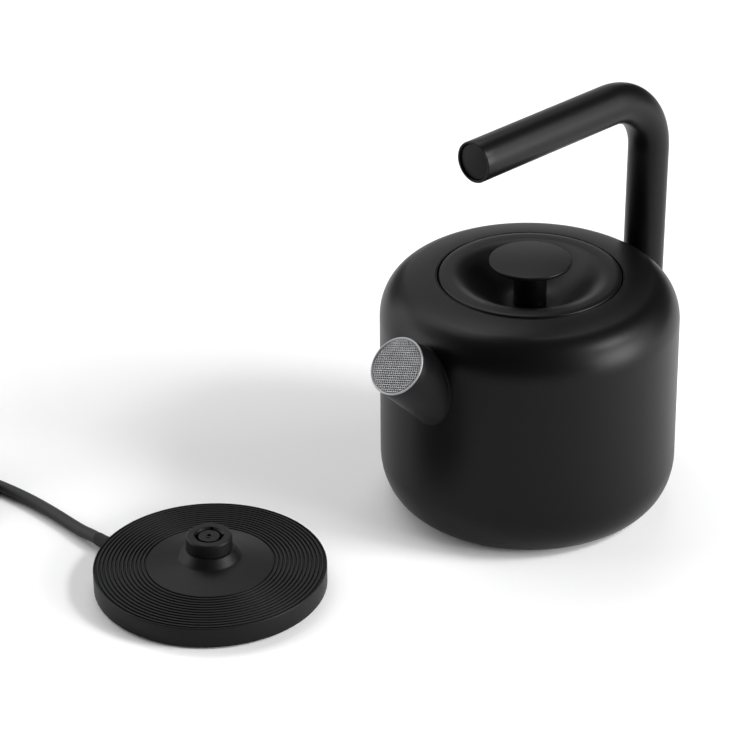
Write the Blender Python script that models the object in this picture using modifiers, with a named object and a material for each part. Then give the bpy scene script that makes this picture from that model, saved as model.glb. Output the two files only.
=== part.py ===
"""Cordless electric kettle standing beside its power base, with the base's cord and plug.

Metres, +Z up. The kettle's handle points along +X and its spout along -X. The origin is on the
floor, in the middle of the footprint of the kettle and the power base together.
"""
import math

import bmesh
import bpy
from mathutils import Vector

# ---- kettle vessel ----
BODY_R = 0.0900            # outer radius of the vessel
BODY_WALL = 0.0012         # steel wall
SEAM_Z = 0.1473            # height of the top surface at the lid seam
SEAM_R = 0.0552            # radius of the lid seam
TOP_SLOPE = math.radians(8.8)    # the top falls away from the lid
SHOULDER_RX = 0.0202       # shoulder ellipse, half width
SHOULDER_RZ = 0.0248       # shoulder ellipse, half height
BOTTOM_RX = 0.0200         # bottom corner ellipse, half width
BOTTOM_RZ = 0.0295         # bottom corner ellipse, half height
BOTTOM_LIP = 0.0035        # the lower edge reaches this close to the corner ellipse's middle
FIT_GAP = 0.0003           # clearance between pieces that touch
CUT_PAST = 0.0020          # how far a cutting tool reaches past its cut
SCREW_HOLE_SPARE = 0.0010  # depth of a screw hole beyond the screw
SCREW_HEAD_EDGE = 0.0005
SEGMENTS = 36              # round the large turned pieces
SPOUT_SEGMENTS = 32        # round the spout
SMALL_SEGMENTS = 24        # round the small ones
FASTENER_SEGMENTS = 12     # round screws and pins

# ---- lid ----
LID_SEAM_GAP = 0.0010      # dark gap round the lid
RING_WALL = 0.0006         # bright seat ring of the opening
RING_DEPTH = 0.0140        # how far the seat ring goes down
RING_LEDGE_W = 0.0027      # inward ledge that carries the gasket
LID_WALL = 0.0012
LID_CROWN = 0.0006         # the lid's ring stands this much above the seam
LID_RING_EDGE = 0.0018     # the pressed curve ends this far inside the lid
LID_EDGE_W = 0.0006
LID_EDGE_DROP = 0.0004
LID_DISH_DEPTH = 0.0181    # seam to the floor of the dish
LID_FLAT_W = 0.0020        # the dish floor stays flat this far round the stem
LID_BRIM_W = 0.0072        # the dish starts this far inside the seam
LID_SKIRT_H = 0.0032       # turned-down edge of the lid
PAN_DEPTH = 0.0245         # seam to the underside of the inner pan
PAN_TOP_DROP = 0.0016      # seam to the top edge of the inner pan's wall
PAN_INSET = 0.0030         # the pan's wall stands this far inside the seam
PAN_WALL = 0.0010
GASKET_H = 0.0040
GASKET_TOP_W = 0.0015
GASKET_HEEL = 0.0012
GASKET_LIP = 0.0004        # clearance of the gasket's lip to the seat ring
KNOB_R = 0.0246
KNOB_RISE = 0.0100         # knob top above the seam
KNOB_THICK = 0.0023
KNOB_STEM_R = 0.0100
KNOB_SCREW_R = 0.0020
KNOB_SCREW_HEAD_R = 0.0040
KNOB_SCREW_LENGTH = 0.0120  # thread length inside the stem
KNOB_SCREW_HEAD_H = 0.0022
KNOB_EDGE = 0.0005

# ---- spout ----
SPOUT_TILT = math.radians(41.9)   # rise of the spout's axis
SPOUT_PROUD = 0.0227       # mouth centre outside the vessel's wall
SPOUT_DROP = 0.0179        # mouth centre below the lid seam
SPOUT_MOUTH_R = 0.0178
SPOUT_TAPER = 0.0418       # radius gained per length towards the root
SPOUT_WALL = 0.0012
SPOUT_BURIED = 0.0560      # axis length from the mouth to well inside the vessel
SPOUT_RIM_FLANGE = 0.0007
SPOUT_RIM_SLEEVE = 0.0060
MESH_BELOW_MOUTH = 0.0006  # top of the filter below the mouth
RIM_LEDGE_H = 0.0005
RIM_LIP_W = 0.0007
RIM_LIP_H = 0.0004
RIM_MESH_GAP = 0.0002
MESH_THICK = 0.0005

# ---- handle ----
HANDLE_STANDOFF = 0.0008   # post's side from the vessel's wall, at the pivot height
HANDLE_PIVOT_RISE = 0.0027  # the lean is measured this far above the seam
HANDLE_LEAN = math.radians(1.0)   # the post leans out, so the grip rises to its tip
HANDLE_R = 0.0125
HANDLE_WALL = 0.0015
HANDLE_BEND_RISE = 0.0490  # the bend starts this far above the seam
HANDLE_BEND_R = 0.0390
GRIP_LENGTH = 0.1155       # straight part of the grip
HANDLE_FOOT_Z = 0.0500     # lower end of the post
BEND_STEPS = 9
BEND_LEAD = 0.0200         # a corner this far before and after the bend
CAP_EDGE = 0.0003
CAP_THICK = 0.0025
TIP_CAP_RECESS = 0.0010    # the grip's cap sits this far inside its end
FOOT_CAP_RECESS = 0.0002
FOOT_CAP_INSET = 0.0010    # the foot's cap is this much smaller, to clear the coped side
FOOT_CAP_SHIFT = 0.0004    # and stands this far out from the vessel

# ---- heater, control and underside of the kettle ----
HEATER_RISE = 0.0065       # underside of the heated floor, above the bottom corner
HEATER_THICK = 0.0020
ELEMENT_R = 0.0550
ELEMENT_TUBE_R = 0.0040
ELEMENT_HALF_GAP = math.radians(32)
ELEMENT_PIN_R = 0.0020
ELEMENT_PIN_LENGTH = 0.0110
ELEMENT_END_GAP = 0.0004
CONTROL_EDGE = 0.0055      # control housing outside its screw ring
CONTROL_TOP_DROP = 0.0011  # below the heated floor
CONTROL_H = 0.0104
CONTROL_NOSE_GAP = 0.0040  # switch nose stops this short of the lever's inner end
CONTROL_NOSE_W = 0.0180
NOSE_STEP_LOW = 0.0010
NOSE_STEP_HIGH = 0.0020
BIMETAL_R = 0.0090
BIMETAL_THICK = 0.0004
SOCKET_WALL = 0.0011
SOCKET_BORE_GAP = 0.0007   # round the power base's barrel
SOCKET_MOUTH_GAP = 0.0012  # round the foot of the base's cone
SOCKET_BOTTOM_Z = 0.0015
SOCKET_MOUTH_Z = 0.0065    # the mouth is straight up to here
SOCKET_CONE_Z = 0.0122     # and narrows up to here
SOCKET_LEAD_Z = 0.0135     # the bore starts here
SOCKET_ROOF = 0.0025       # material above the bore
SOCKET_TOP_DROP = 0.0005   # below the control housing
SOCKET_BLADE_GAP = 0.0010  # inside the ring slot's outer wall
SOCKET_BLADE_WALL = 0.0008
SOCKET_BLADE_BOTTOM_Z = 0.0110
SOCKET_PIN_R = 0.0009
COVER_UNDER_Z = 0.0013     # underside of the bottom cover's outer ring
COVER_THICK = 0.0022
COVER_RAISED_Z = 0.0055    # underside of its raised middle
COVER_RAISED_W = 0.0080    # its raised middle, outside the control housing
COVER_RAISED_SLOPE = 0.0040
SLOPE_STEP = 0.0010        # the slope's underside lies this far inside its top
COVER_HOLE_GAP = 0.0004    # round the socket
COVER_SCREW_OUT = 0.0071   # screw ring outside the socket
COVER_EDGE_GAP = 0.0004    # inside the vessel's lower edge
SCREW_R = 0.0015
SCREW_HEAD_R = 0.0030
KETTLE_SCREW_HEAD_H = 0.0018
KETTLE_SCREW_LENGTH = 0.0100
BASE_SCREW_HEAD_H = 0.0008
BASE_SCREW_LENGTH = 0.0080
SCREW_CLEARANCE = 0.0003
BOSS_R = 0.0042
FOOT_R = 0.0060
FOOT_H = 0.0020
FOOT_EDGE = 0.0004
KETTLE_FOOT_INSET = 0.0135  # foot centres inside the vessel's lower edge
STEAM_TUBE_INSET = 0.0100  # tube axis inside the vessel's wall
STEAM_TUBE_R = 0.0040
STEAM_TUBE_WALL = 0.0010
STEAM_TUBE_TOP_DROP = 0.0193    # below the seam
STEAM_TUBE_BOTTOM_DROP = 0.0025  # below the heated floor

# ---- power lever ----
LEVER_PIN_INSET = 0.0180   # pin inside the vessel's wall
LEVER_PIN_RISE = 0.0025    # pin above the control housing's underside
LEVER_PIN_R = 0.0015
LEVER_HUB_WALL = 0.0025    # round the pin
LEVER_W = 0.0160
LEVER_THICK = 0.0036
LEVER_INNER = 0.0150       # arm inside the pin
LEVER_OUTER = 0.0370       # arm outside the pin, to the paddle's end
PADDLE_LENGTH = 0.0130
PADDLE_THICK = 0.0060
PADDLE_ROUND = 0.0015
HUB_STEP = 0.0001           # the hub stands this much inside the arm's sides
BRACKET_FLOOR = 0.0020
LEVER_ROOM_BELOW = 0.0040  # window below the arm, for its travel
LEVER_ROOM_ABOVE = 0.0024
LEVER_SIDE_GAP = 0.0010
BRACKET_EAR = 0.0025
BRACKET_RISE = 0.0005      # ears above the hub

# ---- power base ----
BASE_BEARING = math.radians(165.15)   # direction of the base from the kettle, from +X
BASE_CLEAR = 0.0604        # floor between the kettle's wall and the base's edge
BASE_R = 0.0688
BASE_RIM_Z = 0.0135
BASE_EDGE_ROUND = 0.0006
BASE_SKIRT_Z = 0.0008
BASE_WALL = 0.0022
GROOVE_COUNT = 13
GROOVE_INSET = 0.0007      # outermost groove inside the base's edge
GROOVE_R_IN = 0.0370
GROOVE_DEPTH = 0.0010
CENTRE_DISC_Z = 0.0151     # height at the inner edge of the grooves
CREST_R = 0.0250
CREST_Z = 0.0184
HOLLOW_R = 0.0215          # low ring between the crest and the skirt
HOLLOW_Z = 0.0188
UNDER_SHIFT = 0.0008       # the cover's underside turns up this much nearer the axis
SKIRT_FOOT_R = 0.0181
SKIRT_FOOT_Z = 0.0198
SKIRT_TOP_R = 0.0145
SKIRT_TOP_Z = 0.0255
CONNECTOR_NECK = 0.0016    # the barrel narrows by this much in the cover's hole
BARREL_R = 0.0136
BARREL_TOP_Z = 0.0339
BARREL_EDGE = 0.0006
BARREL_FLANGE_R = 0.0155
BARREL_FLANGE_Z = 0.0100
BARREL_FLANGE_H = 0.0020
SLOT_R_OUT = 0.0089
SLOT_R_IN = 0.0063
SLOT_FLOOR_Z = 0.0200
CORE_TOP_DROP = 0.0007
CORE_RING_R = 0.0025
CORE_RING_H = 0.0004
CORE_BOTTOM_Z = 0.0090
PIN_HOLE_R = 0.0013
PIN_HOLE_FLOOR_Z = 0.0140
CONTACT_PIN_R = 0.0009
CONTACT_PIN_DROP = 0.0090  # tip of the contact pin below the island's top
CONTACT_RING_H = 0.0020
PAN_FLOOR_Z = 0.0013
PAN_FLOOR_THICK = 0.0022
PAN_BOSS_R = 0.0160
PAN_GAP = 0.0004
OUTLET_HALF = 0.0100
NOTCH_HALF = 0.0140
BASE_FOOT_INSET = 0.0128   # foot centres inside the base's edge
BASE_SCREW_INSET = 0.0228

# ---- cord, relief, coil and plug, from the power base's centre ----
CORD_R = 0.00375
EXIT_X = -0.0204           # the cord leaves along +Y at this offset
EXIT_Z = 0.0058
RELIEF_INSIDE = 0.0128     # flange inside the base's edge
RELIEF_FLANGE_R = 0.0048
RELIEF_FLANGE_H = 0.0020
RELIEF_NECK_R = 0.0044
RELIEF_NECK_INSET = 0.0030
RELIEF_OUTSIDE = 0.0092    # tip outside the base's edge
RELIEF_TIP_R = 0.0041
# Hand-chosen points of the free stretch, from the relief's tip to the side of the coil.
CORD_ROUTE = (
    (-0.0204, 0.0783, 0.0058), (-0.0204, 0.0850, 0.0055), (-0.0201, 0.0915, 0.0046),
    (-0.0196, 0.0980, 0.0040), (-0.0192, 0.1060, 0.0038), (-0.0188, 0.1150, 0.0038),
    (-0.0186, 0.1270, 0.0038), (-0.0187, 0.1380, 0.0038), (-0.0193, 0.1490, 0.0038),
    (-0.0204, 0.1600, 0.0038), (-0.0221, 0.1710, 0.0039), (-0.0243, 0.1800, 0.0043),
)
COIL_X = -0.0690
COIL_Y = 0.2080
COIL_R = 0.0400            # at the middle of the turns
COIL_LAYERS = 3
COIL_Z = 0.0052            # centre of the lowest turn, which lies on the tie
LAYER_STEP = 0.0077
COIL_PAD = 0.0001
TIE_THICK = 0.0009
TIE_SPARE = 0.0006
TIE_ROUND = 0.0006
TIE_W = 0.0080
TIE_AT = math.radians(200)
# Hand-chosen points of the lead from the top of the coil to the plug.
PLUG_LEAD = (
    (-0.1010, 0.2457, 0.0198), (-0.1090, 0.2428, 0.0192), (-0.1170, 0.2393, 0.0188),
    (-0.1245, 0.2350, 0.0186),
)
PLUG_TURN = math.radians(212)   # heading of the plug, from +X
PLUG_R = 0.0183
PLUG_DISC_H = 0.0200
PLUG_NECK_R = 0.0066
PLUG_EDGE = 0.0010
PLUG_SOFTEN = 0.0020       # run of each soft corner of the waist
PLUG_WAIST_STEP = 0.0015
PLUG_FLARE_W = 0.0060
PLUG_COLLAR_W = 0.0012
PLUG_FLAT_LENGTH = 0.0180
PLUG_NECK_H = 0.0200
PLUG_SHOULDER_H = 0.0100
PLUG_PIN_SPACING = 0.0190
PLUG_PIN_R = 0.0024
PLUG_PIN_LENGTH = 0.0190
PLUG_FLAT_W = 0.0080
PLUG_FLAT_DEPTH = 0.0022
EARTH_CLIP_W = 0.0060
EARTH_CLIP_THICK = 0.0009
EARTH_CLIP_LENGTH = 0.0150

# ---- what follows from the driving sizes ----
BOTTOM_OPEN_R = BODY_R - BOTTOM_RX + BOTTOM_LIP
LID_R = SEAM_R - LID_SEAM_GAP / 2
OPENING_R = SEAM_R + LID_SEAM_GAP / 2
SHELL_OPEN_R = OPENING_R + RING_WALL + FIT_GAP
LID_DISH_R_IN = KNOB_STEM_R + LID_FLAT_W
LID_DISH_R_OUT = SEAM_R - LID_BRIM_W
PAN_R = SEAM_R - PAN_INSET
LID_FLOOR_Z = SEAM_Z - LID_DISH_DEPTH
KNOB_TOP_Z = SEAM_Z + KNOB_RISE
KNOB_UNDER_Z = KNOB_TOP_Z - KNOB_THICK
SPOUT_REACH = BODY_R + SPOUT_PROUD
SPOUT_MOUTH_Z = SEAM_Z - SPOUT_DROP
HANDLE_X = BODY_R + HANDLE_R + HANDLE_STANDOFF
HANDLE_PIVOT_Z = SEAM_Z + HANDLE_PIVOT_RISE
HANDLE_BEND_Z = SEAM_Z + HANDLE_BEND_RISE
HANDLE_OUTER_X = (HANDLE_X + HANDLE_R
                  + (HANDLE_BEND_Z - HANDLE_PIVOT_Z) * math.tan(HANDLE_LEAN))
HEATER_Z = BOTTOM_RZ + HEATER_RISE
CONTROL_TOP_Z = HEATER_Z - CONTROL_TOP_DROP
CONTROL_BOTTOM_Z = CONTROL_TOP_Z - CONTROL_H
STEAM_TUBE_X = BODY_R - STEAM_TUBE_INSET
STEAM_TUBE_TOP_Z = SEAM_Z - STEAM_TUBE_TOP_DROP
STEAM_TUBE_BOTTOM_Z = HEATER_Z - STEAM_TUBE_BOTTOM_DROP
SOCKET_MOUTH_R = SKIRT_FOOT_R + SOCKET_MOUTH_GAP
SOCKET_R = SOCKET_MOUTH_R + SOCKET_WALL
SOCKET_BORE_R = BARREL_R + SOCKET_BORE_GAP
SOCKET_CONE_R = SKIRT_TOP_R + SOCKET_BORE_GAP
SOCKET_TOP_Z = CONTROL_BOTTOM_Z - SOCKET_TOP_DROP
SOCKET_BORE_TOP_Z = SOCKET_TOP_Z - SOCKET_ROOF
SOCKET_BLADE_R = SLOT_R_OUT - SOCKET_BLADE_GAP
COVER_HOLE_R = SOCKET_R + COVER_HOLE_GAP
COVER_SCREW_RING_R = SOCKET_R + COVER_SCREW_OUT
CONTROL_R = COVER_SCREW_RING_R + CONTROL_EDGE
COVER_RAISED_R = CONTROL_R + COVER_RAISED_W
COVER_TOP_Z = COVER_UNDER_Z + COVER_THICK
KETTLE_FOOT_RING_R = BOTTOM_OPEN_R - KETTLE_FOOT_INSET
LEVER_PIN_X = BODY_R - LEVER_PIN_INSET
LEVER_PIN_Z = CONTROL_BOTTOM_Z + LEVER_PIN_RISE
LEVER_HUB_R = LEVER_PIN_R + LEVER_HUB_WALL
LEVER_WINDOW_LOW = LEVER_THICK / 2 + LEVER_ROOM_BELOW
LEVER_WINDOW_HIGH = LEVER_THICK / 2 + LEVER_ROOM_ABOVE
CONTROL_NOSE_X = LEVER_PIN_X - LEVER_INNER - CONTROL_NOSE_GAP
WINDOW_W = LEVER_W + 2 * LEVER_SIDE_GAP
FOOT_POCKET_Z = FOOT_H + FIT_GAP
BASE_FROM_KETTLE = BODY_R + BASE_R + BASE_CLEAR
BASE_FROM_KETTLE_X = BASE_FROM_KETTLE * math.cos(BASE_BEARING)
BASE_FROM_KETTLE_Y = BASE_FROM_KETTLE * math.sin(BASE_BEARING)
GROOVE_R_OUT = BASE_R - GROOVE_INSET
CONNECTOR_HOLE_R = BARREL_R - CONNECTOR_NECK
BASE_FOOT_RING_R = BASE_R - BASE_FOOT_INSET
BASE_SCREW_RING_R = BASE_R - BASE_SCREW_INSET
RELIEF_INNER_Y = BASE_R - RELIEF_INSIDE
RELIEF_TIP_Y = BASE_R + RELIEF_OUTSIDE
KETTLE_X = -(BASE_FROM_KETTLE_X - BASE_R + HANDLE_OUTER_X) / 2
KETTLE_Y = -(BASE_FROM_KETTLE_Y + BASE_R - BODY_R) / 2


# ------------------------------------------------------------------ scene and materials

def clear_scene():
    for obj in list(bpy.data.objects):
        bpy.data.objects.remove(obj, do_unlink=True)


def new_collection(name):
    collection = bpy.data.collections.new(name)
    bpy.context.scene.collection.children.link(collection)
    return collection


def material(name, colour, roughness, metallic=0.0):
    """Get or make a plain Principled material."""
    found = bpy.data.materials.get(name)
    if found:
        return found
    made = bpy.data.materials.new(name)
    made.use_nodes = True
    shader = made.node_tree.nodes["Principled BSDF"]
    shader.inputs["Base Color"].default_value = (*colour, 1.0)
    shader.inputs["Roughness"].default_value = roughness
    shader.inputs["Metallic"].default_value = metallic
    return made


def powder_coat():
    return material("black_powder_coat", (0.018, 0.018, 0.019), 0.42)


def bright_steel():
    return material("bright_steel", (0.62, 0.62, 0.63), 0.28, 1.0)


def matte_plastic():
    return material("black_plastic", (0.020, 0.020, 0.021), 0.50)


def inner_plastic():
    return material("inner_plastic", (0.55, 0.55, 0.53), 0.55)


def rubber():
    return material("black_rubber", (0.015, 0.015, 0.015), 0.75)


def silicone():
    return material("grey_silicone", (0.30, 0.30, 0.30), 0.60)


def brass():
    return material("brass", (0.72, 0.52, 0.22), 0.30, 1.0)


def aluminium():
    return material("aluminium", (0.70, 0.70, 0.71), 0.40, 1.0)


# ------------------------------------------------------------------ building blocks

def add_object(name, mesh, mat=None, parent=None, location=(0, 0, 0), cutter=False):
    """Link a mesh as a part, or as a hidden cutter, under a parent empty."""
    obj = bpy.data.objects.new(name, mesh)
    (CUTTERS if cutter else PARTS).objects.link(obj)
    obj.location = location
    obj.parent = parent
    if cutter:
        obj.hide_render = True
        obj.display_type = 'WIRE'
    if mat:
        mesh.materials.append(mat)
    return obj


def empty(name, location, parent=None, rotation=(0, 0, 0)):
    obj = bpy.data.objects.new(name, None)
    PARTS.objects.link(obj)
    obj.location = location
    obj.rotation_euler = rotation
    obj.parent = parent
    return obj


def turned(name, profile, mat=None, parent=None, segments=SEGMENTS, closed=True, cutter=False,
           location=(0, 0, 0), rotation=(0, 0, 0)):
    """Spin a profile of (radius, height) points, outer side first and running down."""
    mesh = bpy.data.meshes.new(name)
    count = len(profile)
    edges = [(i, i + 1) for i in range(count - 1)]
    if closed:
        edges.append((count - 1, 0))
    mesh.from_pydata([(r, 0, z) for r, z in profile], edges, [])
    obj = add_object(name, mesh, mat, parent, location, cutter)
    obj.rotation_euler = rotation
    screw = obj.modifiers.new("turn", 'SCREW')
    screw.axis = 'Z'
    screw.steps = segments
    screw.render_steps = segments
    screw.use_merge_vertices = True
    screw.merge_threshold = 0.00001
    return obj


def disc(name, radius, low, high, mat=None, parent=None, segments=SEGMENTS, cutter=False,
         location=(0, 0, 0), rotation=(0, 0, 0)):
    """A plain round plate or pin."""
    profile = [(0, high), (radius, high), (radius, low), (0, low)]
    return turned(name, profile, mat, parent, segments, False, cutter, location, rotation)


def tube(name, outer, inner, low, high, mat=None, parent=None, segments=SEGMENTS):
    profile = [(outer, high), (outer, low), (inner, low), (inner, high)]
    return turned(name, profile, mat, parent, segments)


def box(name, low, high, mat=None, parent=None, cutter=False):
    """A box between two corners, its origin at the parent's."""
    mesh = bpy.data.meshes.new(name)
    bm = bmesh.new()
    bmesh.ops.create_cube(bm, size=1.0)
    for vert in bm.verts:
        for axis in range(3):
            middle = (low[axis] + high[axis]) / 2
            vert.co[axis] = middle + vert.co[axis] * (high[axis] - low[axis])
    bm.to_mesh(mesh)
    bm.free()
    return add_object(name, mesh, mat, parent, cutter=cutter)


def boolean(target, other, operation='DIFFERENCE'):
    modifier = target.modifiers.new(operation.lower(), 'BOOLEAN')
    modifier.operation = operation
    modifier.object = other


def bevel(target, width, segments=2):
    modifier = target.modifiers.new("round_edges", 'BEVEL')
    modifier.width = width
    modifier.segments = segments
    modifier.limit_method = 'ANGLE'
    modifier.angle_limit = math.radians(40)


def ring_places(count, radius, start=0.0):
    """Points evenly spaced on a circle."""
    places = []
    for i in range(count):
        angle = start + math.tau * i / count
        places.append((radius * math.cos(angle), radius * math.sin(angle)))
    return places


def wire(name, points, radius, resolution, mat=None, parent=None, location=(0, 0, 0)):
    """A round tube along points, as a curve with filled ends."""
    curve = bpy.data.curves.new(name, 'CURVE')
    curve.dimensions = '3D'
    curve.bevel_depth = radius
    curve.bevel_resolution = resolution
    curve.use_fill_caps = True
    spline = curve.splines.new('POLY')
    spline.points.add(len(points) - 1)
    for place, point in zip(points, spline.points):
        point.co = (*place, 1.0)
    obj = bpy.data.objects.new(name, curve)
    PARTS.objects.link(obj)
    obj.parent = parent
    obj.location = location
    if mat:
        curve.materials.append(mat)
    return obj


def wire_to_mesh(source, mat=None, cutter=False):
    """Turn a tube curve into a welded mesh, so that Booleans can use it."""
    bpy.context.view_layer.update()
    graph = bpy.context.evaluated_depsgraph_get()
    mesh = bpy.data.meshes.new_from_object(source.evaluated_get(graph))
    bm = bmesh.new()
    bm.from_mesh(mesh)
    bmesh.ops.remove_doubles(bm, verts=bm.verts, dist=0.00001)
    bm.to_mesh(mesh)
    bm.free()
    name, place = source.name, source.matrix_world.copy()
    bpy.data.objects.remove(source, do_unlink=True)
    obj = add_object(name, mesh, None, None, (0, 0, 0), cutter)
    obj.matrix_world = place
    if mat:
        mesh.materials.clear()
        mesh.materials.append(mat)
    return obj


def smooth_points(points, step):
    """Points about one step apart on a smooth curve through the given ones."""
    ends = [2 * Vector(points[0]) - Vector(points[1])]
    ends += [Vector(p) for p in points]
    ends.append(2 * Vector(points[-1]) - Vector(points[-2]))
    made = []
    for i in range(1, len(ends) - 2):
        a, b, c, d = ends[i - 1:i + 3]
        parts = max(1, round((c - b).length / step))
        for k in range(parts):
            t = k / parts
            made.append(0.5 * (2 * b + (c - a) * t + (2 * a - 5 * b + 4 * c - d) * t * t
                               + (3 * b - 3 * c + d - a) * t ** 3))
    made.append(ends[-2])
    return made


# ------------------------------------------------------------------ vessel

def top_height(radius):
    """Height of the sloping top surface."""
    return SEAM_Z - (radius - SEAM_R) * math.tan(TOP_SLOPE)


def vessel_outline(inset=0.0, inner_edge=SHELL_OPEN_R, lower_edge=BOTTOM_OPEN_R, steps=8):
    """Outer side of the vessel from the lid opening down to its lower edge, moved inwards."""
    shoulder_x = BODY_R - SHOULDER_RX
    slope = SHOULDER_RX * math.tan(TOP_SLOPE)
    start = math.atan2(SHOULDER_RZ, slope)
    meet_x = shoulder_x + SHOULDER_RX * math.cos(start)
    shoulder_z = top_height(meet_x) - SHOULDER_RZ * math.sin(start)
    points = [(inner_edge, top_height(inner_edge) - inset)]
    for i in range(steps + 1):
        angle = start * (1 - i / steps)
        points.append((shoulder_x + (SHOULDER_RX - inset) * math.cos(angle),
                       shoulder_z + (SHOULDER_RZ - inset) * math.sin(angle)))
    corner_x = BODY_R - BOTTOM_RX
    end = math.acos((lower_edge - corner_x) / (BOTTOM_RX - inset))
    for i in range(steps + 1):
        angle = end * i / steps
        points.append((corner_x + (BOTTOM_RX - inset) * math.cos(angle),
                       BOTTOM_RZ - (BOTTOM_RZ - inset) * math.sin(angle)))
    return points


def make_vessel(kettle):
    outer = vessel_outline()
    inner = vessel_outline(BODY_WALL)
    shell = turned("body_shell", outer + inner[::-1], powder_coat(), kettle)
    window = box("lever_window",
                 (BODY_R - 0.02, -WINDOW_W / 2, LEVER_PIN_Z - LEVER_WINDOW_LOW),
                 (BODY_R + 0.02, WINDOW_W / 2, LEVER_PIN_Z + LEVER_WINDOW_HIGH),
                 parent=kettle, cutter=True)
    boolean(shell, window)
    return shell


def make_seat_ring(kettle):
    top = top_height(OPENING_R + RING_WALL)
    floor = SEAM_Z - RING_DEPTH
    inner = OPENING_R - RING_LEDGE_W
    profile = [(OPENING_R, top), (OPENING_R + RING_WALL, top), (OPENING_R + RING_WALL, floor),
               (inner, floor), (inner, floor + RING_WALL), (OPENING_R, floor + RING_WALL)]
    turned("seat_ring", profile, powder_coat(), kettle)


# ------------------------------------------------------------------ spout

def spout_radius(depth):
    """Outer radius of the spout at a depth behind its mouth."""
    return SPOUT_MOUTH_R + SPOUT_TAPER * depth


def make_spout(kettle, shell):
    mouth = empty("spout_mouth", (-SPOUT_REACH, 0, SPOUT_MOUTH_Z), kettle,
                  (0, SPOUT_TILT - math.pi / 2, 0))
    start = SPOUT_RIM_FLANGE + FIT_GAP
    steel = [(0, -start), (spout_radius(start), -start),
             (spout_radius(SPOUT_BURIED), -SPOUT_BURIED), (0, -SPOUT_BURIED)]
    pipe = turned("spout_tube", steel, powder_coat(), mouth, SPOUT_SEGMENTS, False)
    reach = SPOUT_BURIED + CUT_PAST
    bore = [(0, CUT_PAST), (SPOUT_MOUTH_R - SPOUT_WALL, CUT_PAST),
            (spout_radius(reach) - SPOUT_WALL, -reach), (0, -reach)]
    bore_cutter = turned("spout_bore", bore, None, mouth, SPOUT_SEGMENTS, False, True)
    envelope = vessel_outline(-FIT_GAP, 0.0, BODY_R - BOTTOM_RX) + [(0, -FIT_GAP)]
    body_cutter = turned("vessel_envelope", envelope, None, kettle, 96, False, True)
    boolean(pipe, body_cutter)
    boolean(pipe, bore_cutter)
    boolean(shell, bore_cutter)
    make_spout_filter(mouth)


def make_spout_filter(mouth):
    """Bright rim pressed into the mouth, and the woven filter disc that it holds."""
    bore = SPOUT_MOUTH_R - SPOUT_WALL - FIT_GAP
    sleeve_inner = bore - SPOUT_RIM_FLANGE
    seat = -MESH_THICK - MESH_BELOW_MOUTH
    lower = seat - RIM_LEDGE_H
    lip = bore + RIM_LIP_W
    rim = [(SPOUT_MOUTH_R, 0), (SPOUT_MOUTH_R, -SPOUT_RIM_FLANGE), (bore, -SPOUT_RIM_FLANGE),
           (bore, lower - SPOUT_RIM_SLEEVE), (sleeve_inner, lower - SPOUT_RIM_SLEEVE),
           (sleeve_inner, seat), (bore - RIM_MESH_GAP, seat), (lip, -RIM_LIP_H), (lip, 0)]
    turned("spout_rim", rim, bright_steel(), mouth, SPOUT_SEGMENTS)
    disc("spout_mesh", bore - 2.5 * RIM_MESH_GAP, seat + FIT_GAP, seat + FIT_GAP + MESH_THICK,
         bright_steel(), mouth, SPOUT_SEGMENTS)


# ------------------------------------------------------------------ handle

def handle_path(start_trim=0.0, end_trim=0.0):
    """Centre line of the handle tube from the post's foot to the grip's tip."""
    points = [(0, 0, HANDLE_FOOT_Z - HANDLE_PIVOT_Z + start_trim),
              (0, 0, HANDLE_BEND_Z - HANDLE_PIVOT_Z - BEND_LEAD)]
    low = HANDLE_BEND_Z - HANDLE_PIVOT_Z
    for i in range(BEND_STEPS + 1):
        angle = math.pi / 2 * i / BEND_STEPS
        points.append((-HANDLE_BEND_R * (1 - math.cos(angle)), 0,
                       low + HANDLE_BEND_R * math.sin(angle)))
    top = low + HANDLE_BEND_R
    points.append((-HANDLE_BEND_R - BEND_LEAD, 0, top))
    points.append((-HANDLE_BEND_R - GRIP_LENGTH + end_trim, 0, top))
    return points


def make_handle(kettle):
    lean = empty("handle_lean", (HANDLE_X, 0, HANDLE_PIVOT_Z), kettle, (0, HANDLE_LEAN, 0))
    bore_r = HANDLE_R - HANDLE_WALL
    handle = wire_to_mesh(wire("handle_tube", handle_path(), HANDLE_R, 8, None, lean),
                          powder_coat())
    bore = wire_to_mesh(wire("handle_bore", handle_path(-CUT_PAST, -CUT_PAST), bore_r, 8, None, lean),
                        cutter=True)
    boolean(handle, bore)
    wall = disc("wall_cope", BODY_R + FIT_GAP, BOTTOM_RZ, SEAM_Z, parent=kettle, segments=144,
                cutter=True)
    boolean(handle, wall)
    make_handle_caps(lean, bore_r - FIT_GAP)


def make_handle_caps(lean, radius):
    """Inset discs that close the grip's tip and the post's foot."""
    tip_x = -HANDLE_BEND_R - GRIP_LENGTH
    top = HANDLE_BEND_Z - HANDLE_PIVOT_Z + HANDLE_BEND_R
    foot = HANDLE_FOOT_Z - HANDLE_PIVOT_Z
    edge = CAP_EDGE
    plug = [(0, CAP_THICK), (radius, CAP_THICK), (radius, edge), (radius - edge, 0), (0, 0)]
    turned("handle_end_cap", plug, powder_coat(), lean, SMALL_SEGMENTS, False,
           location=(tip_x + TIP_CAP_RECESS, 0, top), rotation=(0, math.pi / 2, 0))
    small = radius - FOOT_CAP_INSET
    low = [(0, CAP_THICK), (small, CAP_THICK), (small, 0), (0, 0)]
    turned("handle_foot_cap", low, powder_coat(), lean, SMALL_SEGMENTS, False,
           location=(FOOT_CAP_SHIFT, 0, foot + FOOT_CAP_RECESS))


# ------------------------------------------------------------------ lid

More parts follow.
